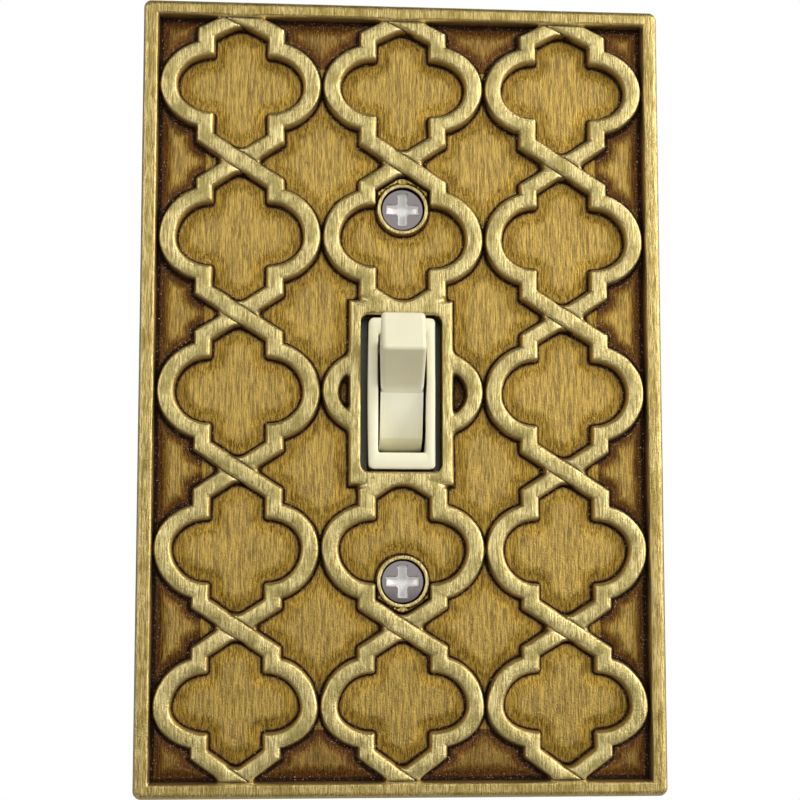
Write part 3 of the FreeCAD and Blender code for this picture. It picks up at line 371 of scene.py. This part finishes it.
def boundary_loops(quads):
    """ordered loops of points along the open edges, the material on the left"""
    pairs = np.concatenate([quads[:, [a, (a + 1) % 4]] for a in range(4)])
    big = int(quads.max()) + 1
    forward = pairs[:, 0].astype(np.int64) * big + pairs[:, 1]
    backward = pairs[:, 1].astype(np.int64) * big + pairs[:, 0]
    open_pairs = pairs[~np.isin(forward, backward)]
    follow = {}
    for a, b in open_pairs:
        follow.setdefault(int(a), []).append(int(b))
    loops = []
    while follow:
        start = next(iter(follow))
        loop = [start]
        at = start
        while True:
            nxt = follow[at].pop()
            if not follow[at]:
                del follow[at]
            if nxt == start:
                break
            loop.append(nxt)
            at = nxt
        loops.append(loop)
    return loops


def build(name, verts, faces, material, masks=None, sharp=35.0):
    """a mesh object from millimetre points, smooth except across sharp edges"""
    mesh = bpy.data.meshes.new(name)
    verts = np.asarray(verts, float) * MM
    if isinstance(faces, np.ndarray):
        n, k = faces.shape
        mesh.vertices.add(len(verts))
        mesh.vertices.foreach_set("co", verts.astype(np.float32).ravel())
        mesh.loops.add(n * k)
        mesh.loops.foreach_set("vertex_index", faces.astype(np.int32).ravel())
        mesh.polygons.add(n)
        mesh.polygons.foreach_set("loop_start", np.arange(0, n * k, k, dtype=np.int32))
    else:
        mesh.from_pydata([tuple(v) for v in verts], [], [tuple(int(i) for i in f) for f in faces])
    mesh.update(calc_edges=True)
    mesh.validate()
    for key, values in (masks or {}).items():
        layer = mesh.attributes.new(key, "FLOAT", "POINT")
        layer.data.foreach_set("value", np.asarray(values, np.float32).ravel())
    mesh.polygons.foreach_set("use_smooth", np.ones(len(mesh.polygons), bool))
    if sharp:
        mesh.set_sharp_from_angle(angle=math.radians(sharp))
    mesh.materials.append(material)
    item = bpy.data.objects.new(name, mesh)
    bpy.context.scene.collection.objects.link(item)
    return item


def grid_faces(rows, cols, closed=False):
    """quads of a rows by cols net; closed joins the last column to the first"""
    ids = np.arange(rows * cols).reshape(rows, cols)
    right = np.roll(ids, -1, axis=1) if closed else ids[:, 1:]
    left = ids if closed else ids[:, :-1]
    return np.stack([left[:-1], right[:-1], right[1:], left[1:]], -1).reshape(-1, 4)


# ------------------------------------------------------------------ materials
class Paint:
    """a small helper around a Principled material"""

    def __init__(self, name):
        self.material = bpy.data.materials.new(name)
        self.material.use_nodes = True
        self.tree = self.material.node_tree
        self.tree.nodes.clear()
        self.out = self.tree.nodes.new("ShaderNodeOutputMaterial")
        self.main = self.tree.nodes.new("ShaderNodeBsdfPrincipled")
        self.tree.links.new(self.main.outputs[0], self.out.inputs[0])
        self.where = self.tree.nodes.new("ShaderNodeTexCoord").outputs["Object"]

    def put(self, socket, value):
        if hasattr(value, "is_output"):
            self.tree.links.new(value, socket)
        else:
            socket.default_value = value

    def node(self, kind, settings=None, inputs=None, out=0):
        item = self.tree.nodes.new("ShaderNode" + kind)
        for key, value in (settings or {}).items():
            setattr(item, key, value)
        for key, value in (inputs or {}).items():
            self.put(item.inputs[key], value)
        return item.outputs[out]

    def plus(self, a, b):
        return self.node("Math", {"operation": "ADD"}, {0: a, 1: b})

    def minus(self, a, b):
        return self.node("Math", {"operation": "SUBTRACT"}, {0: a, 1: b})

    def times(self, a, b):
        return self.node("Math", {"operation": "MULTIPLY"}, {0: a, 1: b})

    def swing(self, value, width):
        """a noise value, which lies about 0.5, turned into one that swings about 0"""
        return self.times(self.minus(value, 0.5), width)

    def noise(self, scale, detail=3.0, rough=0.55):
        """noise whose grain is set per axis, in features per metre"""
        spot = self.node("Mapping", None, {"Vector": self.where, "Scale": scale})
        return self.node("TexNoise", None, {"Vector": spot, "Scale": 1.0, "Detail": detail,
                                            "Roughness": rough})

    def ramp(self, value, low, high, to_low=0.0, to_high=1.0):
        return self.node("MapRange", {"interpolation_type": "SMOOTHSTEP"},
                         {"Value": value, "From Min": low, "From Max": high,
                          "To Min": to_low, "To Max": to_high})

    def mask(self, name):
        return self.node("Attribute", {"attribute_name": name}, None, 2)

    def blend(self, amount, a, b):
        item = self.tree.nodes.new("ShaderNodeMix")
        item.data_type = "RGBA"
        self.put(item.inputs[0], amount)
        self.put(item.inputs[6], a)
        self.put(item.inputs[7], b)
        return item.outputs[2]

    def bump(self, height, distance, strength=1.0, before=None):
        links = {"Height": height, "Distance": distance, "Strength": strength}
        if before is not None:
            links["Normal"] = before
        return self.node("Bump", None, links)

    def set(self, **values):
        names = {"color": "Base Color", "metal": "Metallic", "rough": "Roughness",
                 "normal": "Normal", "coat": "Coat Weight", "coat_rough": "Coat Roughness",
                 "sss": "Subsurface Weight", "sss_scale": "Subsurface Scale",
                 "sss_radius": "Subsurface Radius", "spec": "Specular IOR Level"}
        for key, value in values.items():
            self.put(self.main.inputs[names[key]], value)
        return self.material


def rgb(r, g, b):
    """linear colour from display values of 0 to 255"""
    lin = [((v / 255 + 0.055) / 1.055) ** 2.4 if v > 10 else v / 255 / 12.92 for v in (r, g, b)]
    return (*lin, 1.0)


def antique_brass():
    """relieved antique brass: rubbed crowns, golden brushed panels, near-black corners, with painted
    highlights on the shoulders and small painted glints
    """
    p = Paint("antique_brass")
    dirt_and_shade, zone, rub = p.mask("dirt_and_shade"), p.mask("zone"), p.mask("rub")
    glint = p.mask("glint")
    grain = p.noise((4600, 4600, 300), 3, 0.62)
    fine = p.noise((11000, 11000, 700), 2, 0.6)
    streak = p.noise((1900, 1900, 140), 3, 0.6)
    patch = p.noise((260, 260, 200), 3, 0.6)
    speck = p.noise((3300, 3300, 3300), 2, 0.7)
    tone = p.plus(p.times(grain, 0.50), p.times(fine, 0.42))
    tone = p.plus(tone, p.times(streak, 0.08))
    gold = p.blend(p.ramp(tone, 0.39, 0.61), rgb(104, 76, 19), rgb(198, 161, 68))
    crown = p.blend(p.ramp(tone, 0.38, 0.62), rgb(150, 126, 66), rgb(240, 223, 156))
    greenish = p.blend(p.times(p.ramp(patch, 0.44, 0.66), 0.75), crown, rgb(150, 135, 72))
    color = p.blend(rub, gold, greenish)
    # painted highlight along the ribbon shoulders and faintly in the panel middles
    color = p.blend(p.times(glint, 0.62), color, rgb(246, 226, 166))
    brown = p.blend(p.ramp(tone, 0.40, 0.66), rgb(60, 27, 7), rgb(116, 66, 19))
    color = p.blend(p.times(zone, 0.95), color, brown)
    # patina settles in the corners, amber at its thin edge, and breaks up in patches; at the edges
    # and walls of the bores the darkening is painted shade
    uneven = p.plus(dirt_and_shade, p.swing(patch, 0.35))
    uneven = p.plus(uneven, p.swing(speck, 0.36))
    amber = p.ramp(uneven, 0.10, 0.52)
    color = p.blend(p.times(amber, 0.42), color, rgb(92, 62, 22))
    amount = p.ramp(uneven, 0.40, 0.78)
    color = p.blend(amount, color, rgb(42, 20, 12))
    # brushing lines, dark pits and small painted glints of reflection
    lines = p.times(p.ramp(p.noise((6200, 6200, 260), 1, 0.5), 0.58, 0.70), 0.35)
    color = p.blend(lines, color, rgb(84, 58, 20))
    dots = p.ramp(speck, 0.64, 0.72)
    color = p.blend(p.times(dots, 0.5), color, rgb(70, 42, 14))
    painted_glints = p.noise((5600, 5600, 5600), 1, 0.5)
    painted_glints = p.times(p.ramp(painted_glints, 0.67, 0.74), p.ramp(uneven, 0.05, 0.3, 0.3, 0.6))
    color = p.blend(painted_glints, color, rgb(250, 226, 160))
    height = p.plus(p.times(grain, 0.7), p.times(fine, 0.3))
    normal = p.bump(height, 0.00010, 0.8)
    normal = p.bump(speck, 0.00016, 0.5, normal)
    metal = p.minus(0.95, p.times(amount, 0.75))
    rough = p.plus(p.times(grain, 0.16), p.plus(0.25, p.times(amount, 0.25)))
    spec = p.ramp(amount, 0.0, 1.0, 0.5, 0.08)
    coat = p.ramp(amount, 0.0, 0.6, 0.10, 0.0)
    return p.set(color=color, metal=metal, rough=rough, normal=normal, spec=spec, coat=coat,
                 coat_rough=0.2)


def raw_casting():
    """the unpolished back of the casting: dull and sandy, darker in its corners"""
    p = Paint("raw_casting")
    sand, cloud = p.noise((3000,) * 3, 3, 0.7), p.noise((110,) * 3, 3)
    color = p.blend(p.ramp(cloud, 0.35, 0.65), rgb(120, 106, 78), rgb(146, 130, 96))
    grime_and_shade = p.plus(p.mask("dirt_and_shade"), p.swing(sand, 0.7))
    color = p.blend(p.times(p.ramp(grime_and_shade, 0.35, 0.95), 0.7), color, rgb(58, 48, 34))
    normal = p.bump(sand, 0.00012, 0.6)
    return p.set(color=color, metal=0.8, rough=p.ramp(sand, 0.3, 0.7, 0.42, 0.60), normal=normal)


def ivory(name, tint, deep=None):
    """moulded ivory thermoplastic, faintly uneven, with a paler painted light on parts behind the
    collar face and painted shade in narrow gaps
    """
    p = Paint(name)
    cloud = p.noise((120, 120, 120), 3)
    fleck = p.noise((5200, 5200, 5200), 2)
    color = p.blend(p.ramp(cloud, 0.35, 0.65), tint, tuple(c * 0.965 for c in tint[:3]) + (1,))
    # painted light: parts lying behind the collar face are made paler
    if deep:
        away = p.node("SeparateXYZ", None, {0: p.where}, 1)
        color = p.blend(p.ramp(away, -0.0095, -0.0068), color, deep)
    # painted shade, with a little dust, darkens the narrow gaps
    open_sky = p.node("AmbientOcclusion", {"samples": 6}, {"Distance": 0.0016}, 1)
    color = p.blend(p.ramp(open_sky, 0.08, 0.42), rgb(34, 26, 18), color)
    normal = p.bump(fleck, 0.00003, 0.25)
    rough = p.ramp(cloud, 0.3, 0.7, 0.40, 0.50)
    return p.set(color=color, rough=rough, normal=normal, sss=0.12, sss_scale=0.001,
                 sss_radius=(1.0, 0.7, 0.4))


def plated(name, tint, rough=0.22, lines=(900, 900, 900), wear=0.12, metal=1.0, bright=None):
    """bright plated or bare metal with fine turning or rolling marks; given a bright colour, a recess
    gets a painted highlight and is made less metallic
    """
    p = Paint(name)
    # painted highlight: the recess mask blends in the bright colour
    if bright:
        tint_out = p.blend(p.mask("recess"), tint, bright)
    marks = p.noise(lines, 3, 0.6)
    cloud = p.noise((420, 420, 420), 3)
    dull = tuple(c * (1 - wear) for c in tint[:3]) + (1,)
    color = p.blend(p.ramp(cloud, 0.3, 0.72), tint, dull)
    if bright:
        color = p.blend(0.8, color, tint_out)
    value = p.plus(p.times(marks, wear), rough - wear / 2)
    normal = p.bump(marks, 0.00002, 0.35)
    if bright:
        metal = p.ramp(p.mask("recess"), 0.0, 1.0, metal, 0.15)
    return p.set(color=color, metal=metal, rough=value, normal=normal)


def moulded(name, tint, rough=0.45, grain=2600, deep=0.00006):
    """compression-moulded or pressed material with a fine surface"""
    p = Paint(name)
    fleck = p.noise((grain,) * 3, 3, 0.6)
    cloud = p.noise((200, 200, 200), 2)
    light = tuple(min(1, c * 1.35 + 0.004) for c in tint[:3]) + (1,)
    color = p.blend(p.ramp(fleck, 0.5, 0.72), tint, light)
    value = p.ramp(cloud, 0.3, 0.7, rough - 0.06, rough + 0.08)
    normal = p.bump(fleck, deep, 0.4)
    return p.set(color=color, rough=value, normal=normal)


BRASS = antique_brass()
RAW = raw_casting()
# the lever's second colour is a painted light that makes its barrel, behind the collar face, paler
LEVER = ivory("ivory_lever", rgb(240, 233, 200), rgb(255, 251, 226))
COLLAR = ivory("ivory_frame", rgb(245, 238, 206))
# screw heads: a grey tint as painted shade for the dark reflection of their tops, and a painted
# highlight in the cross
CHROME = plated("cover_screw_plate", rgb(128, 120, 120), 0.2, bright=rgb(250, 248, 244))
ZINC = plated("zinc_steel", rgb(196, 198, 200), 0.30, (2600, 2600, 260), 0.16)
# the zinc-plated strap is given a dark tint as painted shade for the gap around the collar
STRAP = plated("strap_steel", rgb(98, 98, 88), 0.36, (3000, 3000, 160), 0.16)
SPRING = plated("spring_steel", rgb(170, 172, 176), 0.22, (3000, 3000, 3000), 0.1)
BRIGHT_BRASS = plated("bright_brass", rgb(222, 184, 100), 0.24, (2400, 2400, 400), 0.14)
BRONZE = plated("spring_bronze", rgb(206, 150, 92), 0.28, (2400, 400, 2400), 0.14)
SILVER = plated("contact_silver", rgb(224, 222, 216), 0.26, (1800, 1800, 1800), 0.12)
GREEN = plated("ground_green", rgb(62, 132, 74), 0.28, (1800, 1800, 1800), 0.12, 0.85)
BLACK = moulded("black_phenolic", rgb(30, 30, 32), 0.38)
NYLON = moulded("white_nylon", rgb(226, 226, 216), 0.42)
FIBRE = moulded("red_fibre", rgb(122, 58, 34), 0.7, 5200, 0.0001)


# ---------------------------------------------------------------- cover plate
# depth and darkening of each ring of points down the walls that hang from the face; down the bores
# this darkening is painted shade
OUTSIDE_WALL = [(-6.0, 0.25), (-3.0, 0.2), (0.0, 0.35)]
BORE_WALL = [(-6.4, 0.8), (-5.6, 1.0)]
OPENING_WALL = [(-6.2, 0.35), (-SKIN_BACK, 0.75)]


def cover_plate():
    """the cast face with the walls of its outside, opening and bores, and its hollow back"""
    step = FRONT_STEP
    x, z, high, masks, quads = sheet(
        front_shape, step, [("raised", 0.0), ("frame", 0.0), ("raised", 0.17)],
        [("edge", 0.0), ("hole", 0.0), ("r", BORE_R)])
    verts = np.column_stack([x, -TOP - high, z])
    extra_v, extra_f, extra_m = [], [], {k: [] for k in masks}
    count = len(verts)
    for loop in boundary_loops(quads):
        if len(loop) < 12:
            continue
        ring = verts[loop]
        px, pz = ring[:, 0], ring[:, 2]
        if np.abs(px).max() > 30:
            levels = OUTSIDE_WALL
        elif math.hypot(px.mean(), abs(pz.mean()) - SCREW_Z) < 1.5:
            levels = BORE_WALL
            # the edge of a bore is put exactly on its circle
            centre = np.sign(pz.mean()) * SCREW_Z
            turn = np.arctan2(pz - centre, px)
            ring[:, 0] = BORE_R * np.cos(turn)
            ring[:, 2] = centre + BORE_R * np.sin(turn)
            verts[loop] = ring
        else:
            levels = OPENING_WALL
        last = np.array(loop)
        for depth, grime_and_shade in levels:
            now = ring.copy()
            now[:, 1] = depth
            fresh = count + np.arange(len(loop))
            extra_v.append(now)
            for key in extra_m:
                extra_m[key].append(np.full(len(loop), grime_and_shade if key == "dirt_and_shade" else 0.0))
            after, last_after = np.roll(fresh, -1), np.roll(last, -1)
            extra_f.append(np.stack([last_after, last, fresh, after], -1))
            count += len(loop)
            last = fresh
    verts = np.vstack([verts] + extra_v)
    masks = {k: np.concatenate([masks[k]] + extra_m[k]) for k in masks}
    used, faces = np.unique(np.vstack([quads] + extra_f), return_inverse=True)
    faces = faces.reshape(-1, 4)
    front = build("cover_face", verts[used], faces[:, ::-1], BRASS,
                  {k: v[used] for k, v in masks.items()}, 50)
    x, z, y, masks, quads = sheet(
        back_shape, BACK_STEP, [("wall", 0.0), ("wall", 0.35), ("r", POST_R)],
        [("edge", 0.0), ("hole", 0.0), ("r", 2.0)])
    verts = np.column_stack([x, y, z])
    used, faces = np.unique(quads, return_inverse=True)
    back = build("cover_back", verts[used], faces.reshape(-1, 4), RAW,
                 {k: v[used] for k, v in masks.items()}, 50)
    for item in (front, back):
        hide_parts("cover_plate")
        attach(item, "plate_and_switch")


cover_plate()

# ---------------------------------------------------------------------- screws
HEAD = (3.5, 0.12, 1.55, 0.16)        # radius, height of its side, cone under it, dome
HEAD_EDGE = 0.22                      # radius on the edge of the head
RECESS = (0.66, 2.5, 1.5)             # half width, reach and depth of the cross
SHAFT = (1.75, 1.35, 0.794, 0.4)      # crest, root and pitch of the thread, plain neck
HEAD_ROWS, TURNS = (34), 96


def cross_field(x, z, half, reach):
    """distance inside a cross-shaped driver recess with a swollen middle"""
    ax, az = np.abs(x), np.abs(z)
    one = np.minimum(half - ax, reach - az)
    two = np.minimum(half - az, reach - ax)
    core = half * 1.75 - np.hypot(ax, az)
    notch = half * 1.62 - (ax + az) / math.sqrt(2)
    return np.maximum(np.maximum(one, two), np.maximum(core, notch))


def around(radius, depth, turn):
    """points about the screw's axis"""
    x, z = radius * np.cos(turn), radius * np.sin(turn)
    return np.column_stack([x.ravel(), depth.ravel(), z.ravel()])


def head_net(turn):
    """the domed top of the head, and how deep each of its points lies in the cross"""
    radius, _, _, dome = HEAD
    half, reach, deep = RECESS
    R, T = np.meshgrid(radius * np.linspace(0.02, 1, HEAD_ROWS), turn, indexing="ij")
    field = cross_field(R * np.cos(T), R * np.sin(T), half, reach)
    bowl = deep * (1 - 0.55 * np.clip(R / reach, 0, 1) ** 2)
    sunk = np.where(field > -0.12, np.minimum(bowl, np.clip((field + 0.12) * 3.2, 0, 9)), 0)
    y = dome * (R / radius) ** 2 + sunk
    edge = np.clip((R - radius + HEAD_EDGE) / HEAD_EDGE, 0, 1)
    y = y + HEAD_EDGE * (1 - np.sqrt(np.clip(1 - edge ** 2, 0, 1)))
    return around(R, y, T), R.shape, sunk


def side_net(turn):
    """the side of the head, the cone under it and the plain neck, and the depth where they end"""
    radius, wall, under, dome = HEAD
    crest, _, _, plain = SHAFT
    top = dome + HEAD_EDGE
    seat = top + wall + under
    profile = [(radius, top), (radius, top + wall), (radius - 0.06, top + wall + 0.05)]
    profile += [(crest + (radius - crest) * (1 - k / 5), top + wall + under * k / 5)
                for k in range(1, 6)]
    profile += [(crest, seat + plain)]
    pr = np.array(profile)
    return around(pr[:, :1], np.repeat(pr[:, 1:], TURNS, 1), turn), (len(pr), TURNS), seat + plain


def thread_net(turn, start, stop):
    """the helical thread: a net sheared by one pitch per turn, fading out at both ends"""
    crest, root, pitch, _ = SHAFT
    steps = int((stop - start) / pitch * 12)
    along = np.linspace(start - pitch, stop, steps + 12)
    A, T = np.meshgrid(along, turn, indexing="ij")
    Y = np.clip(A + pitch * T / math.tau, start, stop)
    phase = ((A - start) / pitch) % 1.0
    tooth = np.clip(1.5 - np.abs(phase - 0.5) * 4, 0, 1)
    fade = np.clip((stop - Y) / 1.6, 0, 1) * np.clip((Y - start) / 0.35, 0, 1)
    rad = root + (crest - root) * tooth * fade
    rad = rad * (1 - 0.28 * np.clip(1 - (stop - Y) / 0.8, 0, 1))
    rad = np.where(Y <= start + 1e-6, crest, rad)
    return around(rad, Y, T), A.shape


def screw_mesh(name, at, length):
    """a screw along Y; at: depth and height of the middle of its head; length: head's top to tip"""
    turn = np.arange(TURNS) * math.tau / TURNS
    head, head_shape, sunk = head_net(turn)
    side, side_shape, neck_end = side_net(turn)
    thread, thread_shape = thread_net(turn, neck_end, length)
    faces, base = [], 0
    for rows, cols in (head_shape, side_shape, thread_shape):
        faces += [tuple(int(i) + base for i in f) for f in grid_faces(rows, cols, True)]
        base += rows * cols
    faces.append(tuple(range(TURNS)))
    faces.append(tuple(range(base - TURNS, base)))
    # where the cross in the recess gets its painted highlight
    bright = np.concatenate([np.clip(sunk / 0.25, 0, 1).ravel(), np.zeros(len(side) + len(thread))])
    verts = np.vstack([head, side, thread]) + [0, *at]
    return build(name, verts, faces, CHROME, {"recess": bright}, 32)


for word in ("upper", "lower"):
    node = word + "_cover_screw"
    lo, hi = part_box(node)
    middle = (lo.z + hi.z) / 2 / MM
    top = lo.y / MM
    item = screw_mesh(node + "_detail", (top, middle), hi.y / MM - top)
    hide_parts(node)
    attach(item, word + "_screw")


# ----------------------------------------------------------- lever and collar
PIVOT_Y, TILT = 3.0, math.radians(23)     # the lever's axis and its angle at rest
KNEE = (7.0, 8.6)                         # where the barrel's front facet lies from the axis
KNEE_OUT = 1.8                            # how far that facet comes forward
CHEEK = (3.6, 3.75)                       # where the barrel's side faces lie
CHEEK_SLIM = 0.935
LEAN = 0.6                                # side play at the tip
LIP_OUTER, LIP_INNER = (10.5, 24.5), (7.75, 19.2)
LIP_BOW = 12.2                            # half height over which the collar swells
LIP_BACK = -5.9                           # depth of the lip's hidden foot
# section of the lip: share of the way from its inner to its outer edge, and depth
LIP_SECTION = ((0, LIP_BACK), (0, -7.15), (0.05, -7.36), (0.16, -7.47), (0.5, -7.55),
               (0.84, -7.47), (0.95, -7.34), (1, -7.1), (1, LIP_BACK))


def lever_detail():
    """the lever, its barrel brought out near the collar face, leaning in its side play"""
    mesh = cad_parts["toggle_lever"].data.copy()
    mesh.name = "toggle_lever_detail"
    points = np.zeros(len(mesh.vertices) * 3, np.float32)
    mesh.vertices.foreach_get("co", points)
    points = points.reshape(-1, 3).astype(float) / MM
    x, y, z = points.T
    out, up = PIVOT_Y - y, z
    far = np.hypot(out, up)
    ahead = out * math.cos(TILT) + up * math.sin(TILT)
    knee = (far > KNEE[0]) & (far < KNEE[1]) & (ahead > KNEE[0]) & (np.abs(x) < CHEEK[1])
    y = np.where(knee, y - KNEE_OUT * math.cos(TILT), y)
    z = np.where(knee, z + KNEE_OUT * math.sin(TILT), z)
    x = np.where((np.abs(x) > CHEEK[0]) & (np.abs(x) < CHEEK[1]), x * CHEEK_SLIM, x)
    x = x + SWITCH_X / 2 * smooth(4, 8, ahead) - LEAN * np.clip((ahead - 8) / 14, 0, 1)
    points = (np.column_stack([x, y, z]) * MM).astype(np.float32)
    mesh.vertices.foreach_set("co", points.ravel())
    mesh.update()
    mesh.materials.clear()
    mesh.materials.append(LEVER)
    item = bpy.data.objects.new("toggle_lever_detail", mesh)
    bpy.context.scene.collection.objects.link(item)
    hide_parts("toggle_lever")
    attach(item, "toggle")
    return item


def reach_of_box(angle, wide, tall, radius, bow):
    """distance from the middle to a rounded, slightly bowed rectangle along each ray"""
    low, high = np.zeros(angle.shape), np.full(angle.shape, 40.0)
    for _ in range(40):
        mid = (low + high) / 2
        x, z = mid * np.cos(angle), mid * np.sin(angle)
        grown = 1 + bow * np.clip(1 - (z / LIP_BOW) ** 2, 0, 1)
        inside = box_field(x / grown, z, wide, tall, radius) > 0
        low, high = np.where(inside, mid, low), np.where(inside, high, mid)
    return low


def collar_lip():
    """the softly bowed lip that finishes the front of the collar"""
    corner = math.atan2(LIP_BOW, LIP_OUTER[0] / 2)
    share = np.linspace(0, 1, 61)
    quarter = np.concatenate([corner * share ** 0.8, corner + (math.pi / 2 - corner) * share[1:]])
    angle = np.concatenate([quarter, math.pi - quarter[-2::-1]])
    angle = np.concatenate([angle, angle[1:-1] + math.pi])
    outer = reach_of_box(angle, *LIP_OUTER, 0.9, 0.035)
    inner = reach_of_box(angle, *LIP_INNER, 0.35, 0.01)
    rows = []
    for share, depth in LIP_SECTION:
        r = inner + (outer - inner) * share
        x, z = r * np.cos(angle) + SWITCH_X * (1 + share) / 2, r * np.sin(angle)
        swell = 0.25 * np.clip(1 - (z / LIP_BOW) ** 2, 0, 1) * (depth != LIP_BACK)
        rows.append(np.column_stack([x, depth - swell, z]))
    faces = grid_faces(len(rows), len(angle), True)
    item = build("collar_lip", np.vstack(rows), faces, COLLAR, None, 50)
    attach(item, "plate_and_switch")


lever = lever_detail()
collar_lip()

# -------------------------------------------------- the remaining CAD pieces
FINISH = {
    "switch_frame": COLLAR, "mounting_strap": STRAP, "switch_base": BLACK,
    "plunger_spring": SPRING, "contact_plunger": NYLON, "contact_rocker": BRIGHT_BRASS,
    "moving_contact": SILVER, "fixed_contact": SILVER, "push_in_clips": BRONZE,
    "line_terminal": BRIGHT_BRASS, "load_terminal": BRIGHT_BRASS,
    "terminal_screws": BRIGHT_BRASS, "ground_screw": GREEN, "mounting_screws": ZINC,
    "screw_retainers": FIBRE, "assembly_rivets": ZINC,
}
for name, material in FINISH.items():
    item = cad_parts[name]
    item.data.materials.clear()
    item.data.materials.append(material)

# width in mm of the eased edges of moulded and pressed pieces
EASED = {"switch_frame": 0.28, "switch_base": 0.3, "mounting_strap": 0.12,
         "line_terminal": 0.08, "load_terminal": 0.08, "contact_rocker": 0.1,
         "contact_plunger": 0.15, "screw_retainers": 0.06, "push_in_clips": 0.04,
         "moving_contact": 0.1, "fixed_contact": 0.1}
LEVER_EASED = 0.35
eased_pieces = [(lever, LEVER_EASED)]
eased_pieces += [(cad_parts[name], width) for name, width in EASED.items()]
for item, width in eased_pieces:
    edge = item.modifiers.new("eased_edges", "BEVEL")
    edge.width = width * MM
    edge.segments = 3
    edge.limit_method = "ANGLE"
    edge.angle_limit = math.radians(34)
    edge.use_clamp_overlap = True
    edge.harden_normals = False


# -------------------------------------------------------------- stage and light
FLOOR_Z, FLOOR_HALF = -0.12, 4.0      # metres, as everything below
CAMERA_AT = (-0.02681, -0.31483, -0.03599)      # a little left of and below the middle
LOOK, UP = (0.08468, 0.99007, 0.11221), (-0.00947, -0.11181, 0.99368)


def pale_floor():
    """a floor that reflects as pale grey and is seen as plain white"""
    mesh = bpy.data.meshes.new("floor")
    signs = ((-1, -1), (1, -1), (1, 1), (-1, 1))
    corners = [(x * FLOOR_HALF, y * FLOOR_HALF, FLOOR_Z) for x, y in signs]
    mesh.from_pydata(corners, [], [(0, 1, 2, 3)])
    p = Paint("pale_floor")
    p.set(color=(0.5, 0.5, 0.49, 1), rough=0.9)
    seen = p.node("LightPath")
    white = p.node("Emission", None, {"Color": (1, 1, 1, 1), "Strength": 1.0})
    pick = p.node("MixShader", None, {0: seen, 1: p.main.outputs[0], 2: white})
    p.put(p.out.inputs[0], pick)
    mesh.materials.append(p.material)
    item = bpy.data.objects.new("floor", mesh)
    bpy.context.scene.collection.objects.link(item)


def studio_world():
    """a dim even glow all round, seen by the camera as plain white"""
    world = bpy.data.worlds.new("studio")
    world.use_nodes = True
    bpy.context.scene.world = world
    tree = world.node_tree
    tree.nodes.clear()
    out = tree.nodes.new("ShaderNodeOutputWorld")
    mix = tree.nodes.new("ShaderNodeMixShader")
    eye = tree.nodes.new("ShaderNodeLightPath")
    seen = tree.nodes.new("ShaderNodeBackground")
    glow = tree.nodes.new("ShaderNodeBackground")
    seen.inputs["Color"].default_value = (1, 1, 1, 1)
    seen.inputs["Strength"].default_value = 1.0
    glow.inputs["Color"].default_value = (0.95, 0.97, 1.0, 1)
    glow.inputs["Strength"].default_value = 0.22
    tree.links.new(eye.outputs["Is Camera Ray"], mix.inputs[0])
    tree.links.new(glow.outputs[0], mix.inputs[1])
    tree.links.new(seen.outputs[0], mix.inputs[2])
    tree.links.new(mix.outputs[0], out.inputs[0])


def lamp(name, spot, size, power):
    """a soft rectangular lamp that points at the middle of the cover; power in watts"""
    data = bpy.data.lights.new(name, "AREA")
    data.shape = "RECTANGLE"
    data.size, data.size_y = size
    data.energy = power
    item = bpy.data.objects.new(name, data)
    bpy.context.scene.collection.objects.link(item)
    item.location = spot
    item.rotation_euler = (-Vector(spot)).to_track_quat("-Z", "Y").to_euler()


def camera():
    """the photo's camera, as fitted to the corners, screws, collar and lever tip"""
    data = bpy.data.cameras.new("camera")
    data.lens = 87.06
    data.sensor_width = 36
    data.clip_start = 0.01
    item = bpy.data.objects.new("camera", data)
    bpy.context.scene.collection.objects.link(item)
    bpy.context.scene.camera = item
    look = Vector(LOOK).normalized()
    side = look.cross(Vector(UP)).normalized()
    turn = Matrix((side, side.cross(look), -look)).transposed().to_4x4()
    item.matrix_world = Matrix.Translation(CAMERA_AT) @ turn


pale_floor()
studio_world()
lamp("key", (0.70, -0.34, 0.26), (0.6, 0.8), 6.3)
lamp("front", (0.16, -0.97, 0.17), (1.1, 1.0), 4.0)
lamp("left", (-0.70, -0.45, 0.16), (0.5, 0.8), 2.8)
lamp("back", (0.3, 0.9, 0.5), (0.9, 0.9), 3)
camera()
bpy.context.scene.view_settings.view_transform = "Standard"
